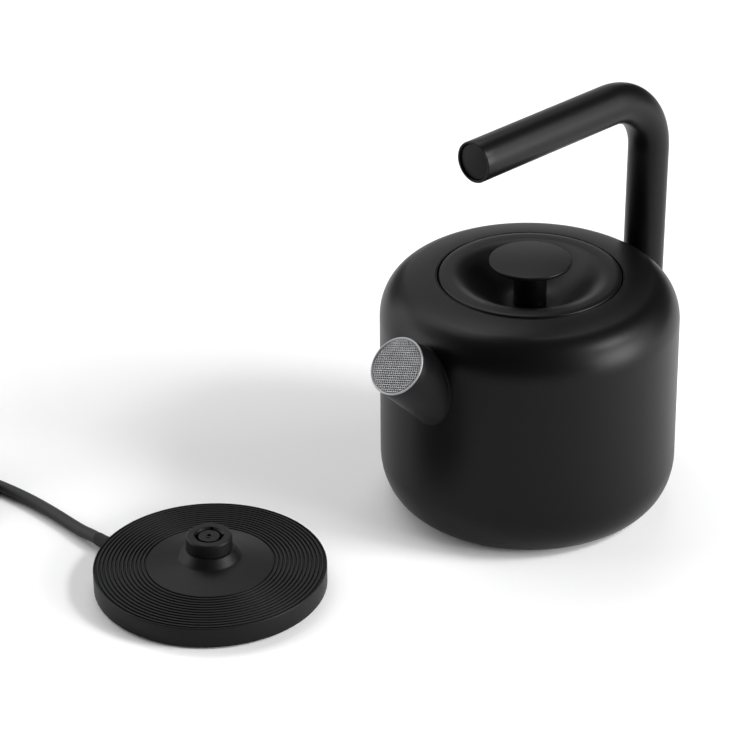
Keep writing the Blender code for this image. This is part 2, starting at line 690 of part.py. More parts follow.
def dish_height(radius):
    """Top surface of the lid: raised ring, smooth bowl, flat floor."""
    crown = SEAM_Z + LID_CROWN
    t = (radius - LID_DISH_R_IN) / (LID_DISH_R_OUT - LID_DISH_R_IN)
    t = min(1.0, max(0.0, t))
    blend = t * t * (3 - 2 * t)
    return LID_FLOOR_Z + (crown - LID_FLOOR_Z) * blend


def offset_below(points, distance):
    """The same profile moved down along its own normals."""
    moved = []
    last = len(points) - 1
    for i, (r, z) in enumerate(points):
        before = points[max(0, i - 1)]
        after = points[min(last, i + 1)]
        along = Vector((after[0] - before[0], after[1] - before[1])).normalized()
        moved.append((r + along.y * distance, z - along.x * distance))
    return moved


def make_lid(lid):
    hole = KNOB_SCREW_R + FIT_GAP
    steps = 10
    span = LID_R - LID_RING_EDGE - LID_DISH_R_IN
    radii = [hole] + [LID_DISH_R_IN + span * i / steps for i in range(steps + 1)]
    top = [(r, dish_height(r)) for r in radii]
    crown = SEAM_Z + LID_CROWN
    edge = [(LID_R - LID_EDGE_W, crown - LID_EDGE_DROP), (LID_R, crown - 3 * LID_EDGE_DROP),
            (LID_R, crown - LID_SKIRT_H)]
    inner_r = LID_R - LID_WALL
    under = [(inner_r, crown - LID_SKIRT_H), (inner_r, crown - 4 * LID_EDGE_DROP)]
    below = offset_below(top, LID_WALL)[::-1]
    turned("lid_dish", top + edge + under + below, powder_coat(), lid)
    floor = SEAM_Z - PAN_DEPTH
    pan_top = SEAM_Z - PAN_TOP_DROP
    pan = [(0, floor + PAN_WALL), (PAN_R - PAN_WALL, floor + PAN_WALL),
           (PAN_R - PAN_WALL, pan_top), (PAN_R, pan_top), (PAN_R, floor), (0, floor)]
    turned("lid_pan", pan, bright_steel(), lid, closed=False)
    low = SEAM_Z - RING_DEPTH + RING_WALL + 2 * FIT_GAP
    inner = PAN_R + FIT_GAP
    outer = OPENING_R - GASKET_LIP
    gasket = [(inner, low + GASKET_H), (inner + GASKET_TOP_W, low + GASKET_H),
              (outer, low + GASKET_H * 0.6), (outer - GASKET_HEEL, low), (inner, low)]
    turned("lid_gasket", gasket, silicone(), lid)
    make_knob(lid)


def make_knob(lid):
    low = LID_FLOOR_Z + FIT_GAP
    high = KNOB_UNDER_Z - FIT_GAP
    hole = KNOB_SCREW_R + FIT_GAP
    hole_top = low + KNOB_SCREW_LENGTH + SCREW_HOLE_SPARE
    stem = [(0, high), (KNOB_STEM_R, high), (KNOB_STEM_R, low), (hole, low),
            (hole, hole_top), (0, hole_top)]
    turned("knob_stem", stem, powder_coat(), lid, SMALL_SEGMENTS, False)
    edge = KNOB_EDGE
    top = [(0, KNOB_TOP_Z), (KNOB_R - edge, KNOB_TOP_Z), (KNOB_R, KNOB_TOP_Z - edge),
           (KNOB_R, KNOB_UNDER_Z + edge), (KNOB_R - edge, KNOB_UNDER_Z), (0, KNOB_UNDER_Z)]
    turned("knob_disc", top, powder_coat(), lid, SEGMENTS, False)
    seat = LID_FLOOR_Z - LID_WALL - FIT_GAP
    screw("knob_screw", lid, (0, 0, seat), KNOB_SCREW_R, KNOB_SCREW_HEAD_R, KNOB_SCREW_HEAD_H,
          low + KNOB_SCREW_LENGTH - seat)


def screw(name, parent, place, radius, head_radius, head_height, length):
    """A screw whose head hangs below its place and whose thread rises from it."""
    profile = [(0, length), (radius, length), (radius, 0), (head_radius, 0),
               (head_radius, SCREW_HEAD_EDGE - head_height), (head_radius - SCREW_HEAD_EDGE, -head_height),
               (0, -head_height)]
    turned(name, profile, bright_steel(), parent, FASTENER_SEGMENTS, False, location=place)


# ------------------------------------------------------------------ heater and underside

def make_heater(kettle):
    plate_r = BODY_R - BODY_WALL - FIT_GAP
    plate = disc("heater_plate", plate_r, HEATER_Z, HEATER_Z + HEATER_THICK, bright_steel(),
                 kettle)
    passage = disc("steam_passage", STEAM_TUBE_R + FIT_GAP, HEATER_Z - CUT_PAST,
                   HEATER_Z + HEATER_THICK + CUT_PAST, parent=kettle, segments=SMALL_SEGMENTS, cutter=True,
                   location=(STEAM_TUBE_X, 0, 0))
    boolean(plate, passage)
    centre_z = HEATER_Z - FIT_GAP - ELEMENT_TUBE_R
    steps = 28
    sweep = math.tau - 2 * ELEMENT_HALF_GAP
    points = []
    for i in range(steps + 1):
        angle = ELEMENT_HALF_GAP + sweep * i / steps
        points.append((ELEMENT_R * math.cos(angle), ELEMENT_R * math.sin(angle), centre_z))
    wire("heating_element", points, ELEMENT_TUBE_R, 2, aluminium(), kettle)
    for number, side in ((1, 1), (2, -1)):
        angle = side * (ELEMENT_HALF_GAP - (ELEMENT_PIN_R + ELEMENT_END_GAP) / ELEMENT_R)
        high = HEATER_Z - FIT_GAP
        disc(f"element_pin_{number}", ELEMENT_PIN_R, high - ELEMENT_PIN_LENGTH, high, brass(),
             kettle, FASTENER_SEGMENTS,
             location=(ELEMENT_R * math.cos(angle), ELEMENT_R * math.sin(angle), 0))
    hollow_r = STEAM_TUBE_R - STEAM_TUBE_WALL
    pipe = [(STEAM_TUBE_R, STEAM_TUBE_TOP_Z), (STEAM_TUBE_R, STEAM_TUBE_BOTTOM_Z),
            (hollow_r, STEAM_TUBE_BOTTOM_Z), (hollow_r, STEAM_TUBE_TOP_Z)]
    turned("steam_tube", pipe, bright_steel(), kettle, FASTENER_SEGMENTS,
           location=(STEAM_TUBE_X, 0, 0))


def make_control(kettle):
    """Thermostat and switch housing, its bimetal disc, and the female connector below it."""
    housing = disc("control_module", CONTROL_R, CONTROL_BOTTOM_Z, CONTROL_TOP_Z,
                   inner_plastic(), kettle)
    nose = box("switch_nose", (CONTROL_R / 2, -CONTROL_NOSE_W / 2, CONTROL_BOTTOM_Z + NOSE_STEP_LOW),
               (CONTROL_NOSE_X, CONTROL_NOSE_W / 2, CONTROL_TOP_Z - NOSE_STEP_HIGH), parent=kettle,
               cutter=True)
    boolean(housing, nose, 'UNION')
    boss_low = COVER_RAISED_Z + COVER_THICK + FIT_GAP
    for number, (x, y) in enumerate(ring_places(3, COVER_SCREW_RING_R, math.pi / 3), 1):
        boss = disc(f"control_boss_{number}", BOSS_R, boss_low, CONTROL_BOTTOM_Z + CUT_PAST,
                    parent=kettle, segments=FASTENER_SEGMENTS, cutter=True, location=(x, y, 0))
        boolean(housing, boss, 'UNION')
    for number, (x, y) in enumerate(ring_places(3, COVER_SCREW_RING_R, math.pi / 3), 1):
        hole = disc(f"control_screw_hole_{number}", SCREW_R + SCREW_CLEARANCE, boss_low - CUT_PAST,
                    boss_low + KETTLE_SCREW_LENGTH, parent=kettle, segments=FASTENER_SEGMENTS, cutter=True,
                    location=(x, y, 0))
        boolean(housing, hole)
    disc("bimetal_disc", BIMETAL_R, CONTROL_TOP_Z + FIT_GAP,
         CONTROL_TOP_Z + FIT_GAP + BIMETAL_THICK, brass(), kettle, SMALL_SEGMENTS)
    cup = [(0, SOCKET_TOP_Z), (SOCKET_R, SOCKET_TOP_Z), (SOCKET_R, SOCKET_BOTTOM_Z),
           (SOCKET_MOUTH_R, SOCKET_BOTTOM_Z), (SOCKET_MOUTH_R, SOCKET_MOUTH_Z),
           (SOCKET_CONE_R, SOCKET_CONE_Z), (SOCKET_BORE_R, SOCKET_LEAD_Z),
           (SOCKET_BORE_R, SOCKET_BORE_TOP_Z),
           (0, SOCKET_BORE_TOP_Z)]
    turned("kettle_socket", cup, matte_plastic(), kettle, SEGMENTS, False)
    top = SOCKET_BORE_TOP_Z - FIT_GAP
    tube("socket_blade", SOCKET_BLADE_R, SOCKET_BLADE_R - SOCKET_BLADE_WALL,
         SOCKET_BLADE_BOTTOM_Z, top, brass(), kettle, SMALL_SEGMENTS)
    disc("socket_pin", SOCKET_PIN_R, SOCKET_BLADE_BOTTOM_Z, top, brass(), kettle,
         FASTENER_SEGMENTS)


def make_underside(kettle):
    edge_r = BOTTOM_OPEN_R - COVER_EDGE_GAP
    raised_top = COVER_RAISED_Z + COVER_THICK
    profile = [(COVER_HOLE_R, raised_top), (COVER_RAISED_R, raised_top),
               (COVER_RAISED_R + COVER_RAISED_SLOPE, COVER_TOP_Z), (edge_r, COVER_TOP_Z),
               (edge_r, COVER_UNDER_Z), (COVER_RAISED_R + COVER_RAISED_SLOPE - SLOPE_STEP, COVER_UNDER_Z),
               (COVER_RAISED_R - SLOPE_STEP, COVER_RAISED_Z), (COVER_HOLE_R, COVER_RAISED_Z)]
    cover = turned("bottom_cover", profile, matte_plastic(), kettle)
    for number, (x, y) in enumerate(ring_places(3, COVER_SCREW_RING_R, math.pi / 3), 1):
        hole = disc(f"cover_screw_hole_{number}", SCREW_R + SCREW_CLEARANCE, -CUT_PAST, BASE_RIM_Z,
                    parent=kettle, segments=FASTENER_SEGMENTS, cutter=True, location=(x, y, 0))
        boolean(cover, hole)
        screw(f"bottom_screw_{number}", kettle, (x, y, COVER_RAISED_Z - FIT_GAP), SCREW_R,
              SCREW_HEAD_R, KETTLE_SCREW_HEAD_H, KETTLE_SCREW_LENGTH)
    for number, (x, y) in enumerate(ring_places(3, KETTLE_FOOT_RING_R, math.pi), 1):
        pocket = disc(f"kettle_foot_pocket_{number}", FOOT_R + FIT_GAP, -CUT_PAST, FOOT_POCKET_Z,
                      parent=kettle, segments=SMALL_SEGMENTS, cutter=True, location=(x, y, 0))
        boolean(cover, pocket)
        foot(f"kettle_foot_{number}", kettle, x, y)


def foot(name, parent, x, y):
    """Soft round pad, half sunk in its pocket."""
    edge = FOOT_EDGE
    profile = [(0, FOOT_H), (FOOT_R, FOOT_H), (FOOT_R, edge), (FOOT_R - edge, 0), (0, 0)]
    turned(name, profile, rubber(), parent, SMALL_SEGMENTS, False, location=(x, y, 0))


# ------------------------------------------------------------------ power lever

def make_lever(kettle):
    axis = empty("lever_axis", (LEVER_PIN_X, 0, LEVER_PIN_Z), kettle)
    half = LEVER_W / 2
    arm = box("power_lever", (-LEVER_INNER, -half, -LEVER_THICK / 2),
              (LEVER_OUTER - PADDLE_ROUND, half, LEVER_THICK / 2), matte_plastic(), axis)
    paddle = box("lever_paddle", (LEVER_OUTER - PADDLE_LENGTH, -half, -PADDLE_THICK / 2),
                 (LEVER_OUTER, half, PADDLE_THICK / 2), parent=axis, cutter=True)
    bevel(paddle, PADDLE_ROUND)
    boolean(arm, paddle, 'UNION')
    side = (math.pi / 2, 0, 0)
    hub = disc("lever_hub", LEVER_HUB_R, -half + HUB_STEP, half - HUB_STEP, parent=axis,
               segments=SMALL_SEGMENTS, cutter=True, rotation=side)
    boolean(arm, hub, 'UNION')
    eye = disc("lever_eye", LEVER_PIN_R + FIT_GAP, -half - CUT_PAST, half + CUT_PAST, parent=axis,
               segments=FASTENER_SEGMENTS, cutter=True, rotation=side)
    boolean(arm, eye)
    ear_in = half + LEVER_SIDE_GAP / 2
    ear_out = ear_in + BRACKET_EAR
    disc("lever_pin", LEVER_PIN_R, -ear_out, ear_out, bright_steel(), axis, FASTENER_SEGMENTS,
         rotation=side)
    low = COVER_TOP_Z + FIT_GAP - LEVER_PIN_Z
    bracket = box("lever_bracket", (-LEVER_HUB_R, -ear_out, low),
                  (LEVER_HUB_R, ear_out, LEVER_HUB_R + BRACKET_RISE), inner_plastic(), axis)
    slot = box("bracket_slot", (-2 * LEVER_HUB_R, -ear_in, low + BRACKET_FLOOR),
               (2 * LEVER_HUB_R, ear_in, 3 * LEVER_HUB_R), parent=axis, cutter=True)
    boolean(bracket, slot)
    hole = disc("bracket_eye", LEVER_PIN_R + FIT_GAP, -ear_out - CUT_PAST, ear_out + CUT_PAST,
                parent=axis, segments=FASTENER_SEGMENTS, cutter=True, rotation=side)
    boolean(bracket, hole)


# ------------------------------------------------------------------ power base

def groove_points():
    """Zig-zag of the concentric grooves, from the centre disc out to the rim."""
    pitch = (GROOVE_R_OUT - GROOVE_R_IN) / GROOVE_COUNT
    fall = (CENTRE_DISC_Z - BASE_RIM_Z) / (BASE_R - GROOVE_R_IN)
    points = []
    for i in range(GROOVE_COUNT):
        crest = GROOVE_R_IN + pitch * i
        points.append((crest, CENTRE_DISC_Z - fall * (crest - GROOVE_R_IN)))
        valley = crest + pitch / 2
        points.append((valley, CENTRE_DISC_Z - fall * (valley - GROOVE_R_IN) - GROOVE_DEPTH))
    points.append((GROOVE_R_OUT, CENTRE_DISC_Z - fall * (GROOVE_R_OUT - GROOVE_R_IN)))
    return points


def make_base_cover(base):
    inner_r = BASE_R - BASE_WALL
    top = [(CONNECTOR_HOLE_R, SKIRT_TOP_Z), (SKIRT_TOP_R, SKIRT_TOP_Z),
           (SKIRT_FOOT_R, SKIRT_FOOT_Z), (HOLLOW_R, HOLLOW_Z), (CREST_R, CREST_Z)]
    side = [(BASE_R - BASE_EDGE_ROUND, BASE_RIM_Z), (BASE_R, BASE_RIM_Z - BASE_EDGE_ROUND),
            (BASE_R, BASE_SKIRT_Z), (inner_r, BASE_SKIRT_Z)]
    under = [(inner_r, BASE_RIM_Z - BASE_WALL - GROOVE_DEPTH),
             (GROOVE_R_IN, CENTRE_DISC_Z - BASE_WALL - GROOVE_DEPTH),
             (CREST_R, CREST_Z - BASE_WALL), (SKIRT_FOOT_R - UNDER_SHIFT, SKIRT_FOOT_Z - BASE_WALL),
             (CONNECTOR_HOLE_R, SKIRT_TOP_Z - BASE_WALL)]
    cover = turned("base_top_cover", top + groove_points() + side + under, matte_plastic(), base)
    low = PAN_FLOOR_Z + PAN_FLOOR_THICK + FIT_GAP
    high = CENTRE_DISC_Z - BASE_WALL
    for number, (x, y) in enumerate(ring_places(3, BASE_SCREW_RING_R, math.pi), 1):
        boss = disc(f"base_boss_{number}", BOSS_R, low, high, parent=base,
                    segments=FASTENER_SEGMENTS, cutter=True, location=(x, y, 0))
        boolean(cover, boss, 'UNION')
    for number, (x, y) in enumerate(ring_places(3, BASE_SCREW_RING_R, math.pi), 1):
        hole = disc(f"base_boss_hole_{number}", SCREW_R + SCREW_CLEARANCE, low - CUT_PAST,
                    high - SCREW_HOLE_SPARE, parent=base, segments=FASTENER_SEGMENTS, cutter=True,
                    location=(x, y, 0))
        boolean(cover, hole)
    outlet = disc("cord_outlet", RELIEF_NECK_R + FIT_GAP, -OUTLET_HALF, OUTLET_HALF, parent=base,
                  segments=SMALL_SEGMENTS, cutter=True, location=(EXIT_X, BASE_R - CUT_PAST, EXIT_Z),
                  rotation=(math.pi / 2, 0, 0))
    boolean(cover, outlet)


def make_connector(base):
    """Barrel with a ring slot, centre island, and the contacts inside."""
    flange_top = BARREL_FLANGE_Z + BARREL_FLANGE_H
    neck_r = CONNECTOR_HOLE_R - FIT_GAP
    island_hole = SLOT_R_IN + FIT_GAP
    barrel = [(SLOT_R_OUT, BARREL_TOP_Z), (BARREL_R - BARREL_EDGE, BARREL_TOP_Z),
              (BARREL_R, BARREL_TOP_Z - BARREL_EDGE), (BARREL_R, SKIRT_TOP_Z + FIT_GAP),
              (neck_r, SKIRT_TOP_Z + FIT_GAP), (neck_r, flange_top),
              (BARREL_FLANGE_R, flange_top), (BARREL_FLANGE_R, BARREL_FLANGE_Z),
              (island_hole, BARREL_FLANGE_Z), (island_hole, SLOT_FLOOR_Z),
              (SLOT_R_OUT, SLOT_FLOOR_Z)]
    turned("connector_barrel", barrel, matte_plastic(), base)
    top = BARREL_TOP_Z - CORE_TOP_DROP
    core = [(0, PIN_HOLE_FLOOR_Z), (PIN_HOLE_R, PIN_HOLE_FLOOR_Z),
            (PIN_HOLE_R, top + CORE_RING_H), (CORE_RING_R, top + CORE_RING_H),
            (CORE_RING_R, top), (SLOT_R_IN, top), (SLOT_R_IN, CORE_BOTTOM_Z),
            (0, CORE_BOTTOM_Z)]
    turned("connector_core", core, matte_plastic(), base, SMALL_SEGMENTS, False)
    tube("contact_ring", SLOT_R_OUT - FIT_GAP, SLOT_R_IN + FIT_GAP, SLOT_FLOOR_Z + FIT_GAP,
         SLOT_FLOOR_Z + FIT_GAP + CONTACT_RING_H, brass(), base, SMALL_SEGMENTS)
    disc("contact_pin", CONTACT_PIN_R, PIN_HOLE_FLOOR_Z + FIT_GAP, top - CONTACT_PIN_DROP, brass(), base,
         FASTENER_SEGMENTS)


def make_base_pan(base):
    top = PAN_FLOOR_Z + PAN_FLOOR_THICK
    pan_r = BASE_R - BASE_WALL - PAN_GAP
    boss_top = CORE_BOTTOM_Z - FIT_GAP
    profile = [(0, boss_top), (PAN_BOSS_R, boss_top), (PAN_BOSS_R, top), (pan_r, top),
               (pan_r, PAN_FLOOR_Z), (0, PAN_FLOOR_Z)]
    pan = turned("base_pan", profile, matte_plastic(), base, SEGMENTS, False)
    notch = disc("relief_notch", RELIEF_FLANGE_R + FIT_GAP, -NOTCH_HALF, NOTCH_HALF, parent=base,
                 segments=SMALL_SEGMENTS, cutter=True,
                 location=(EXIT_X, RELIEF_INNER_Y + OUTLET_HALF, EXIT_Z),
                 rotation=(math.pi / 2, 0, 0))
    boolean(pan, notch)
    for number, (x, y) in enumerate(ring_places(3, BASE_SCREW_RING_R, math.pi), 1):
        hole = disc(f"pan_screw_hole_{number}", SCREW_R + SCREW_CLEARANCE, -CUT_PAST, BASE_RIM_Z,
                    parent=base, segments=FASTENER_SEGMENTS, cutter=True, location=(x, y, 0))
        boolean(pan, hole)
        screw(f"base_screw_{number}", base, (x, y, PAN_FLOOR_Z - FIT_GAP), SCREW_R,
              SCREW_HEAD_R, BASE_SCREW_HEAD_H, BASE_SCREW_LENGTH)
    for number, (x, y) in enumerate(ring_places(3, BASE_FOOT_RING_R, 0), 1):
        pocket = disc(f"base_foot_pocket_{number}", FOOT_R + FIT_GAP, -CUT_PAST, FOOT_POCKET_Z,
                      parent=base, segments=SMALL_SEGMENTS, cutter=True, location=(x, y, 0))
        boolean(pan, pocket)
        foot(f"base_foot_{number}", base, x, y)


# ------------------------------------------------------------------ cord and plug

def make_relief(base):
    """Tapered sleeve: flange inside the wall, neck through it, taper outside."""
    length = RELIEF_TIP_Y - RELIEF_INNER_Y
    outside = BASE_R - RELIEF_NECK_INSET - RELIEF_INNER_Y
    profile = [(0, 0), (RELIEF_FLANGE_R, 0), (RELIEF_FLANGE_R, -RELIEF_FLANGE_H),
               (RELIEF_NECK_R, -RELIEF_FLANGE_H), (RELIEF_NECK_R, -outside),
               (RELIEF_TIP_R, -length), (0, -length)]
    turned("strain_relief", profile, rubber(), base, SMALL_SEGMENTS, False,
           location=(EXIT_X, RELIEF_INNER_Y, EXIT_Z), rotation=(math.pi / 2, 0, 0))


def make_cord(base):
    step = 2.4 * CORD_R * 2
    wire("mains_cord", smooth_points(CORD_ROUTE, step), CORD_R, 3, matte_plastic(), base)
    half = CORD_R + COIL_PAD
    low = COIL_Z - half
    high = COIL_Z + (COIL_LAYERS - 1) * LAYER_STEP + half
    coil = [(COIL_R + half, high), (COIL_R + half, low), (COIL_R - half, low),
            (COIL_R - half, high)]
    turned("cord_coil", coil, matte_plastic(), base, location=(COIL_X, COIL_Y, 0))
    wire("plug_lead", smooth_points(PLUG_LEAD, step), CORD_R, 3, matte_plastic(), base)
    make_tie(base, low, high, half)


def make_tie(base, low, high, half):
    """Flat band round the coil's turns."""
    tie = empty("tie_place", (COIL_X, COIL_Y, 0), base, (0, 0, TIE_AT))
    inner = (COIL_R - half - TIE_SPARE, COIL_R + half + TIE_SPARE)
    z = (low - FIT_GAP, high + FIT_GAP)
    band = box("cord_tie", (inner[0] - TIE_THICK, -TIE_W / 2, z[0] - TIE_THICK),
               (inner[1] + TIE_THICK, TIE_W / 2, z[1] + TIE_THICK), rubber(), tie)
    bevel(band, TIE_ROUND)
    hole = box("tie_hole", (inner[0], -TIE_W, z[0]), (inner[1], TIE_W, z[1]), parent=tie,
               cutter=True)
    boolean(band, hole)


def make_plug(base):
    """Round earthed plug on its side; local +Z runs from the cord to the pins."""
    end = Vector(PLUG_LEAD[-1])
    heading = Vector((math.cos(PLUG_TURN), math.sin(PLUG_TURN), 0))
    rear = end + heading * FIT_GAP
    plug = empty("plug_rear", (rear.x, rear.y, PLUG_R), base,
                 (0, math.pi / 2, PLUG_TURN))
    back = PLUG_NECK_H
    face = back + PLUG_SHOULDER_H + PLUG_DISC_H
    waist = back + PLUG_SHOULDER_H
    profile = [(0, face), (PLUG_R - PLUG_EDGE, face), (PLUG_R, face - PLUG_EDGE),
               (PLUG_R, waist + PLUG_SOFTEN), (PLUG_R - PLUG_WAIST_STEP, waist - PLUG_SOFTEN),
               (PLUG_NECK_R + PLUG_FLARE_W, back + 1.5 * PLUG_SOFTEN),
               (PLUG_NECK_R + PLUG_COLLAR_W, back - PLUG_SOFTEN),
               (PLUG_NECK_R, back / 2), (CORD_R + PLUG_EDGE, 0), (0, 0)]
    body = turned("plug_body", profile, matte_plastic(), plug, 32, False)
    clip_top = face - PLUG_EDGE
    for number, side in ((1, 1), (2, -1)):
        inner = PLUG_R - PLUG_FLAT_DEPTH
        y = sorted((side * inner, side * (PLUG_R + CUT_PAST)))
        groove = box(f"earth_groove_{number}", (-PLUG_FLAT_W / 2, y[0], face - PLUG_FLAT_LENGTH),
                     (PLUG_FLAT_W / 2, y[1], face + CUT_PAST), parent=plug, cutter=True)
        boolean(body, groove)
        low = inner + FIT_GAP
        clip_y = sorted((side * low, side * (low + EARTH_CLIP_THICK)))
        box(f"earth_clip_{number}", (-EARTH_CLIP_W / 2, clip_y[0], clip_top - EARTH_CLIP_LENGTH),
            (EARTH_CLIP_W / 2, clip_y[1], clip_top), bright_steel(), plug)
    for number, side in ((1, 1), (2, -1)):
        base_z = face + FIT_GAP
        tip = base_z + PLUG_PIN_LENGTH
        pin = [(0, tip), (PLUG_PIN_R - PLUG_EDGE, tip), (PLUG_PIN_R, tip - PLUG_EDGE),
               (PLUG_PIN_R, base_z), (0, base_z)]
        turned(f"plug_pin_{number}", pin, bright_steel(), plug, FASTENER_SEGMENTS, False,
               location=(side * PLUG_PIN_SPACING / 2, 0, 0))


# ------------------------------------------------------------------ build

clear_scene()
PARTS = new_collection("electric_kettle")
CUTTERS = new_collection("cutters")
kettle_frame = empty("kettle_frame", (KETTLE_X, KETTLE_Y, 0))
lid_frame = empty("lid_frame", (KETTLE_X, KETTLE_Y, 0))
base_frame = empty("base_frame", (KETTLE_X + BASE_FROM_KETTLE_X,
                                  KETTLE_Y + BASE_FROM_KETTLE_Y, 0))
body_shell = make_vessel(kettle_frame)
make_seat_ring(kettle_frame)
make_spout(kettle_frame, body_shell)
make_handle(kettle_frame)
make_lid(lid_frame)
make_heater(kettle_frame)
make_control(kettle_frame)
make_underside(kettle_frame)
make_lever(kettle_frame)
make_base_cover(base_frame)
make_connector(base_frame)
make_base_pan(base_frame)
make_relief(base_frame)
make_cord(base_frame)
make_plug(base_frame)
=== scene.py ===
# %% [markdown]
# # A cordless kettle beside its power base
# The kettle is a black powder-coated steel pot with a bent tube handle. It stands next to the
# round base that feeds it, and the base trails a mains lead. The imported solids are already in
# the right places, so this lesson gives each of them its real surface: fine turned walls, a
# woven wire filter, concentric grooves, a soft round cord and believable finishes.

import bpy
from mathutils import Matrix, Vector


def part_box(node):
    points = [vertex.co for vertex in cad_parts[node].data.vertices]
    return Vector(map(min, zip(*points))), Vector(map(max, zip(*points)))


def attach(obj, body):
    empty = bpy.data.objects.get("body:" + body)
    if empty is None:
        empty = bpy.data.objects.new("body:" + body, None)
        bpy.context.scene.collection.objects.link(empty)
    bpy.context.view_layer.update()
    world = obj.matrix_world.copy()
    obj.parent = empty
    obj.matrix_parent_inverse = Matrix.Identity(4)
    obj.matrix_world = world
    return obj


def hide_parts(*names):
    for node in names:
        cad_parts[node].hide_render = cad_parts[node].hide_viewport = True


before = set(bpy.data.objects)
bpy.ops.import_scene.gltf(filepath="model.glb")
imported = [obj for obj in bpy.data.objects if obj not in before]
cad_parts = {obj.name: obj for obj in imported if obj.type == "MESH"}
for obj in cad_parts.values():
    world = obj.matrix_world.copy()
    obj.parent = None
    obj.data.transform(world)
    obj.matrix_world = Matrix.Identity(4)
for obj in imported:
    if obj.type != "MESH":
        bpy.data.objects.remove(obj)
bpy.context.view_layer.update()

# %% Modules used below
import math

import bmesh
import bpy
from mathutils import Matrix, Vector
from mathutils.bvhtree import BVHTree

# %% [markdown]
# ## Where things stand
# Every place comes from the frame. A turned piece has its axis in the middle of its box, so
# the vessel's box gives the kettle's axis and radius, and the base cover's box does the same
# for the power base. Measuring the frame, instead of typing numbers, keeps each new surface
# exactly on its solid.

# %% Middle and size of a node's box
def middle(node):
    low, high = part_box(node)
    return Vector([(a + b) / 2 for a, b in zip(low, high)])


def half_width(node):
    low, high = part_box(node)
    return (high[1] - low[1]) / 2


def lowest(node):
    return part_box(node)[0][2]


def highest(node):
    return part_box(node)[1][2]


KETTLE = Vector((middle("body_shell").x, middle("body_shell").y, 0))
BASE = Vector((middle("base_top_cover").x, middle("base_top_cover").y, 0))
BODY_R = half_width("body_shell")
BASE_R = half_width("base_top_cover")
print("kettle axis", tuple(round(v, 4) for v in KETTLE), "radius", round(BODY_R, 4))
print("base axis", tuple(round(v, 4) for v in BASE), "radius", round(BASE_R, 4))

# %% [markdown]
# ## The camera
# A long lens from well above the table, nearly square to the line between kettle and base.
# A long lens keeps the upright walls almost parallel, which is how a product picture of a
# pot is usually taken. The camera comes first, because the loose cord is judged against it.
# Its place, angles and lens weren't chosen by eye: a separate least-squares program worked
# them out, and they are typed in here, turned into these axes and rounded.

# %% Make the camera
CAMERA_FROM_KETTLE = Vector((-1.27587, -1.17534, 1.05041))
CAMERA_HEADING = math.radians(45.726)
CAMERA_DIP = math.radians(29.2716)
CAMERA_ROLL = math.radians(-0.52434)
LENS_MM = 157.226

camera_data = bpy.data.cameras.new("long_lens")
camera_data.lens = LENS_MM
camera_data.sensor_width = 36
camera_data.clip_end = 20
camera = bpy.data.objects.new("camera", camera_data)
bpy.context.scene.collection.objects.link(camera)
aim = Matrix.Rotation(CAMERA_HEADING - math.pi / 2, 4, 'Z')
aim = aim @ Matrix.Rotation(math.pi / 2 - CAMERA_DIP, 4, 'X') @ Matrix.Rotation(CAMERA_ROLL, 4, 'Z')
camera.matrix_world = Matrix.Translation(KETTLE + CAMERA_FROM_KETTLE) @ aim
bpy.context.scene.camera = camera
print("camera at", tuple(round(v, 3) for v in camera.location))

# %% [markdown]
# ## Finishes
# Nothing on this kettle is one flat colour up close. Powder coat is a baked paint with a fine
# pebbled grain. Moulded plastic has a finer grain still, and both are a little glossier in
# some places than in others. One helper builds all of them: a fine noise for the grain's
# bump, and a broad noise that drifts the roughness and the colour. It reads Object
# coordinates, because every finished piece keeps its place in its mesh, so the grain stays
# the same size everywhere.

# %% A helper for grained finishes
def finish(name, dark, light, gloss, metallic=0.0, grain=900.0, height=0.00002, patch=18.0,
           stretch=(1, 1, 1), specular=0.5):
    """dark and light colours drift over patches; gloss is the (lowest, highest) roughness."""
    made = bpy.data.materials.new(name)
    made.use_nodes = True
    nodes, links = made.node_tree.nodes, made.node_tree.links
    shader = nodes["Principled BSDF"]
    shader.inputs["Metallic"].default_value = metallic
    shader.inputs["Specular IOR Level"].default_value = specular
    place = nodes.new("ShaderNodeTexCoord")
    turn = nodes.new("ShaderNodeMapping")
    turn.inputs["Scale"].default_value = stretch
    links.new(place.outputs["Object"], turn.inputs["Vector"])
    fine = nodes.new("ShaderNodeTexNoise")
    fine.inputs["Scale"].default_value = grain
    fine.inputs["Detail"].default_value = 3
    links.new(turn.outputs["Vector"], fine.inputs["Vector"])
    bump = nodes.new("ShaderNodeBump")
    bump.inputs["Strength"].default_value = 1.0
    bump.inputs["Distance"].default_value = height
    links.new(fine.outputs["Fac"], bump.inputs["Height"])
    links.new(bump.outputs["Normal"], shader.inputs["Normal"])
    broad = nodes.new("ShaderNodeTexNoise")
    broad.inputs["Scale"].default_value = patch
    broad.inputs["Detail"].default_value = 4
    links.new(place.outputs["Object"], broad.inputs["Vector"])
    drift = nodes.new("ShaderNodeMapRange")
    drift.inputs["From Min"].default_value = 0.3
    drift.inputs["From Max"].default_value = 0.7
    drift.inputs["To Min"].default_value = gloss[0]
    drift.inputs["To Max"].default_value = gloss[1]
    links.new(broad.outputs["Fac"], drift.inputs["Value"])
    links.new(drift.outputs["Result"], shader.inputs["Roughness"])
    ramp = nodes.new("ShaderNodeValToRGB")
    ramp.color_ramp.elements[0].position = 0.3
    ramp.color_ramp.elements[0].color = (*dark, 1)
    ramp.color_ramp.elements[1].position = 0.7
    ramp.color_ramp.elements[1].color = (*light, 1)
    links.new(broad.outputs["Fac"], ramp.inputs["Fac"])
    links.new(ramp.outputs["Color"], shader.inputs["Base Color"])
    return made


